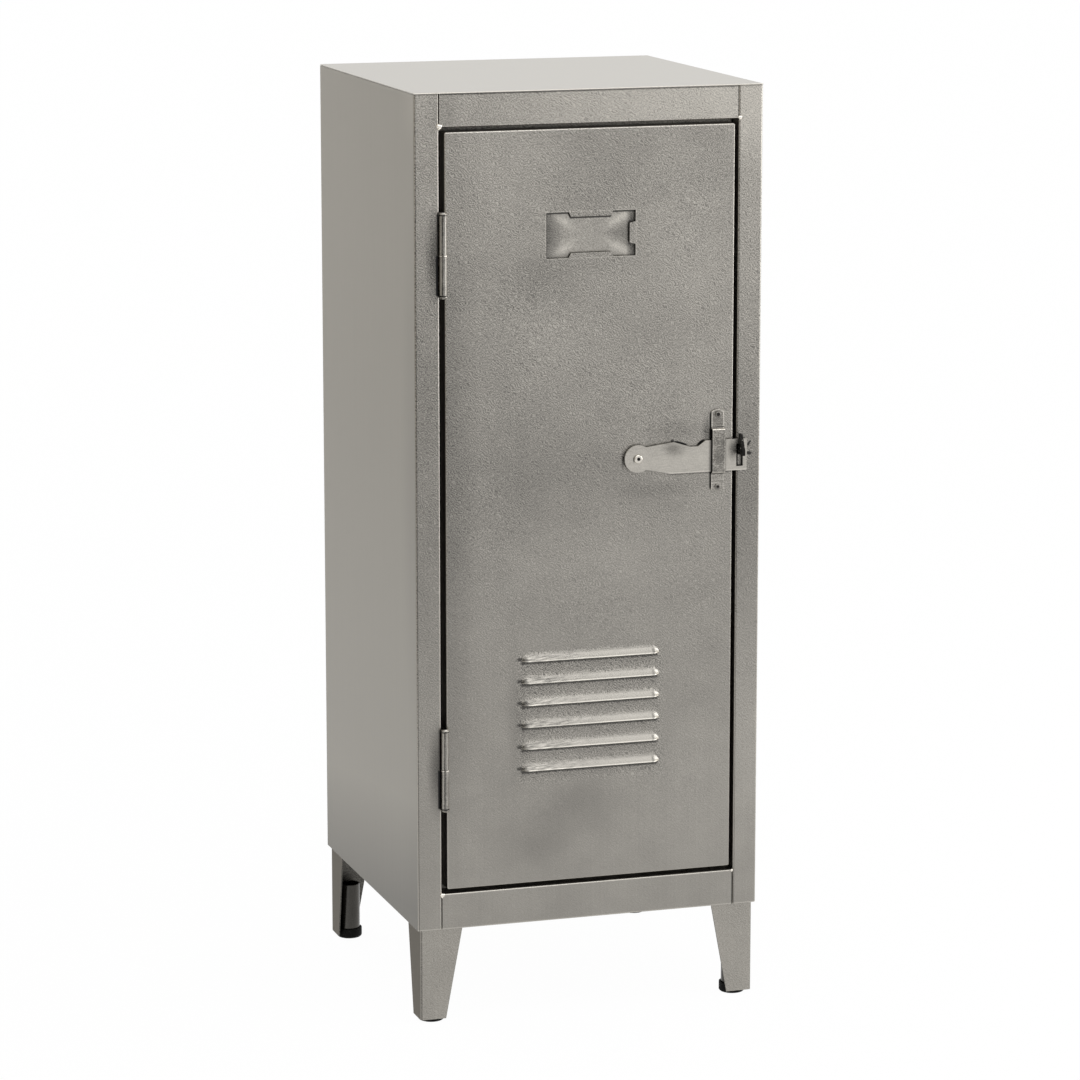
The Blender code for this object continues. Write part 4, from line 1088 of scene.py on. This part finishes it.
# painted contact shadows on the door beside the keeper strap and left of the arm's round end
ARM_CONTACT_SHADOWS = [
    (120, 574, 7, 22, -0.3), (33.6, 549, 1.9, 12, -0.5),
]
NOTCH_SHADOWS = [
    (92.9, 563.2, 11, 2.0, 1.0, 17.6), (113.4, 563.2, 6.5, 2.0, 1.0, -34), (84.4, 566, 2.4, 2.4, 0.8),
]
# painted light and shade on the frame, with painted shadows beside the hinges
FRAME_LIGHT_AND_SHADE = [
    (120, 900, 330, 100, 0.30), (-162, 902, 70, 55, 0.10), (-146, 894, 22, 34, -0.12),
    (162, 800, 70, 170, 0.08), (-165, 530, 60, 330, -0.13), (-165, 170, 60, 120, -0.04),
    (163, 510, 60, 170, -0.12), (163, 240, 60, 170, 0.08), (-155, 756, 12, 58, -0.4),
    (-155, 255, 12, 58, -0.38),
]
# painted black shadow of the latch hook on the right stile
HOOK_SHADOW_SPOTS = [
    (163.1, 559.2, 1.9, 3.2, 0.9, 20), (164.5, 561.2, 2.2, 1.3, 0.9, -35),
    (163.5, 550.0, 4.0, 2.6, 0.9, 20),
]
# painted shade on the latch arm under its notch, by the hook and beside the pivot rivet
ARM_SHADE_SPOTS = [
    (84, 559, 17, 11, -0.3, 8), (146, 555, 8, 15, -0.35), (43.6, 550.2, 1.6, 4.5, -0.5),
]


# Studio

FLOOR = [(-40, -40, 0), (40, -40, 0), (40, 40, 0), (-40, 40, 0)]
FLOOR_GLOW = 0.98  # share of the floor that is white by itself, the rest takes shadow
FLAG = [(-1.5, -3.2, 0.0), (-1.5, 3.2, 0.0), (-1.5, 3.2, 2.2), (-1.5, -3.2, 2.2)]
# Soft boxes: place, target, width and height, power in watts
OVERHEAD = ((0.35, -1.5, 2.7), (0.05, -0.1, 0.55), (2.0, 1.4), 15.0)
RIGHT = ((2.3, -0.75, 0.9), (0.1, -0.1, 0.5), (1.0, 1.8), 16.0)
# Camera, fitted to the photograph
CAMERA_PLACE = (-1.3061, -4.0841, 1.2843)
CAMERA_DIRECTION = (0.29917, 0.93456, -0.19259)
CAMERA_LENS = 144.97
CAMERA_SENSOR = 36.0


def studio():
    """White surroundings, a pale floor, a grey card on the left and two soft boxes."""
    scene = bpy.context.scene
    scene.view_settings.view_transform = "Standard"
    world = bpy.data.worlds.new("studio")
    scene.world = world
    world.use_nodes = True
    world.node_tree.nodes["Background"].inputs["Color"].default_value = (1, 1, 1, 1)
    flat_sheet("floor", FLOOR, white_floor())
    flag = flat_sheet("left_flag", FLAG, grey_flag())
    flag.visible_camera = False
    softbox("overhead", *OVERHEAD)
    softbox("right", *RIGHT)


def flat_sheet(name, corners, material):
    mesh = bpy.data.meshes.new(name)
    mesh.from_pydata(corners, [], [(0, 1, 2, 3)])
    mesh.materials.append(material)
    sheet = bpy.data.objects.new(name, mesh)
    bpy.context.scene.collection.objects.link(sheet)
    sheet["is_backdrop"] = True
    return sheet


def white_floor():
    """Floor that reads as white where nothing shades it, and keeps a soft shadow."""
    material = bpy.data.materials.new("white_floor")
    material.use_nodes = True
    tree = material.node_tree
    tree.nodes.clear()
    rays = add_node(tree, "LightPath").outputs
    seen = rays["Is Camera Ray"]
    for ray in ("Is Glossy Ray", "Is Transmission Ray"):
        inputs = {0: seen, 1: rays[ray]}
        seen = add_node(tree, "Math", inputs, operation="ADD", use_clamp=True).outputs[0]
    share = add_node(tree, "Math", {0: seen, 1: FLOOR_GLOW}, operation="MULTIPLY").outputs[0]
    paper = add_node(tree, "BsdfDiffuse", {"Color": (0.88, 0.88, 0.88, 1)}).outputs[0]
    glow = add_node(tree, "Emission", {"Strength": 1.0}).outputs[0]
    mix = add_node(tree, "MixShader", {0: share, 1: paper, 2: glow}).outputs[0]
    add_node(tree, "OutputMaterial", {"Surface": mix})
    return material


def grey_flag():
    """Matt grey card for the steel's left side to reflect."""
    material = bpy.data.materials.new("grey_flag")
    material.use_nodes = True
    shader = material.node_tree.nodes["Principled BSDF"]
    shader.inputs["Base Color"].default_value = (0.5, 0.485, 0.455, 1)
    shader.inputs["Roughness"].default_value = 0.9
    return material


def aim(name, data, place, direction):
    """A lamp or camera at a place, looking in a direction."""
    holder = bpy.data.objects.new(name, data)
    holder.location = place
    holder.rotation_euler = direction.to_track_quat("-Z", "Y").to_euler()
    bpy.context.scene.collection.objects.link(holder)
    return holder


def softbox(name, place, target, size, power):
    lamp = bpy.data.lights.new(name, "AREA")
    lamp.shape = "RECTANGLE"
    lamp.size, lamp.size_y = size
    lamp.energy = power
    aim(name, lamp, place, Vector(target) - Vector(place))


def camera():
    view = bpy.data.cameras.new("view")
    view.sensor_width = CAMERA_SENSOR
    view.lens = CAMERA_LENS
    bpy.context.scene.camera = aim("view", view, CAMERA_PLACE, Vector(CAMERA_DIRECTION))


# Pieces and their finishes

UPRIGHT = (0, 90, 0)  # turns the lines of bright steel upright


def finish_cabinet():
    shell = sanded_steel(
        "shell_steel", sanding=1.1, details=shell_tones, soot=shell_soot, spots=FRAME_LIGHT_AND_SHADE
    )
    # the top's tone is raised as painted light from above
    top = sanded_steel("top_steel_lit", tone=0.83, sanding=0.5, coat=0.6, glancing=(1.0, 1.0, 0.985))
    inside = sanded_steel("inner_steel", tone=0.46, sanding=0.4)
    # the legs' sides and insides get painted shade
    legs = sanded_steel(
        "leg_steel", tone=0.58, sanding=2.5, coat=0.1, edge_tone=0.05, side_shade=-0.28, inside_shade=-0.5,
        details=bend_reflections, glancing=(0.5, 0.48, 0.45),
    )
    barrel = bright_steel(
        "barrel_steel", 0.24, UPRIGHT, roughness=0.28, contrast=0.9, details=barrel_reflections,
    )
    ring = bright_steel("ring_steel", 0.7, UPRIGHT, roughness=0.22, details=washer_reflections)
    cap = bright_steel("cap_steel", 0.09, UPRIGHT, roughness=0.26, light=0.75, details=cap_tones)
    # the tube's steel kept dark as painted shade under the locker
    tube = bright_steel("tube_steel_shaded", 0.05, UPRIGHT, roughness=0.25)
    bead = bright_steel("weld_steel", 0.8, roughness=0.25, contrast=0.6)

    dress(["left_side_panel", "right_side_panel", "top_rail", "bottom_rail"], shell)
    dress(["top_panel"], top)
    dress(["back_panel", "floor_panel", "shelf", "shelf_runner_left", "shelf_runner_right"], inside)
    corners = ["front_left", "front_right", "rear_left", "rear_right"]
    rubber = black_rubber("black_rubber")
    footing = (("leg", legs, 0.5), ("foot_tube", tube, 0.3), ("rubber_tip", rubber, 0.8))
    for stem, material, edge in footing:
        dress([f"{stem}_{corner}" for corner in corners], material, edge)
    for place in PAIR:
        knuckles = [f"{place}_hinge_frame_knuckle", f"{place}_hinge_door_knuckle"]
        dress(knuckles, barrel, edge=0.35)
        dress([f"{place}_hinge_pin", f"{place}_hinge_cap"], cap, edge=0.35)
        dress([f"{place}_hinge_washer"], ring, edge=0.3)
    for name, x, level, size in (
        ("upper_left", -OPENING, HEAD + 0.8 * MM, 1.0),
        ("upper_right", OPENING + 1.2 * MM, HEAD + 0.9 * MM, 0.7),
        ("lower_left", -OPENING, SILL - 1.2 * MM, 0.8),
        ("lower_right", OPENING - 0.6 * MM, SILL - 0.9 * MM, 0.5),
    ):
        weld_bead(f"weld_bead_{name}", x, level, size, bead)


def finish_door():
    skin = sanded_steel(
        "door_steel", details=door_tones, soot=door_soot, rubbing=louvre_sanding, spots=DOOR_LIGHT_AND_SHADE
    )
    dish = sanded_steel("card_steel", tone=0.62, sanding=0.6, details=card_tones)
    door_face(skin)
    card_floor(dish)


def finish_latch():
    arm = bright_steel(
        "arm_steel", 0.44, contrast=0.4, details=arm_tones, soot=arm_soot, spots=ARM_SHADE_SPOTS
    )
    strap = bright_steel(
        "strap_steel", 0.185, contrast=0.85, edge_tone=0.3, light=0.75, details=strap_tones
    )
    polished = bright_steel("rivet_steel", 0.62, roughness=0.22, contrast=0.3, soot=pivot_hole)
    dull = bright_steel("keeper_rivet_steel", 0.2, details=keeper_dimple_shade)
    dress(["keeper_strap"], strap, edge=0.4)
    dress(["latch_hook"], dark_steel("blackened_steel", 0.012), edge=0.5)
    dress(["latch_pivot_washer"], strap, edge=0.3)
    rivet("latch_pivot_rivet", PIVOT_HEAD_HEIGHT, polished)
    for place in PAIR:
        rivet(f"keeper_rivet_{place}", KEEPER_RIVET_HEIGHT, dull)
    latch_arm(arm)


finish_cabinet()
finish_door()
finish_latch()
studio()
camera()
[[list(corner) for corner in box] for box in (CAD_BOX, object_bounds())]
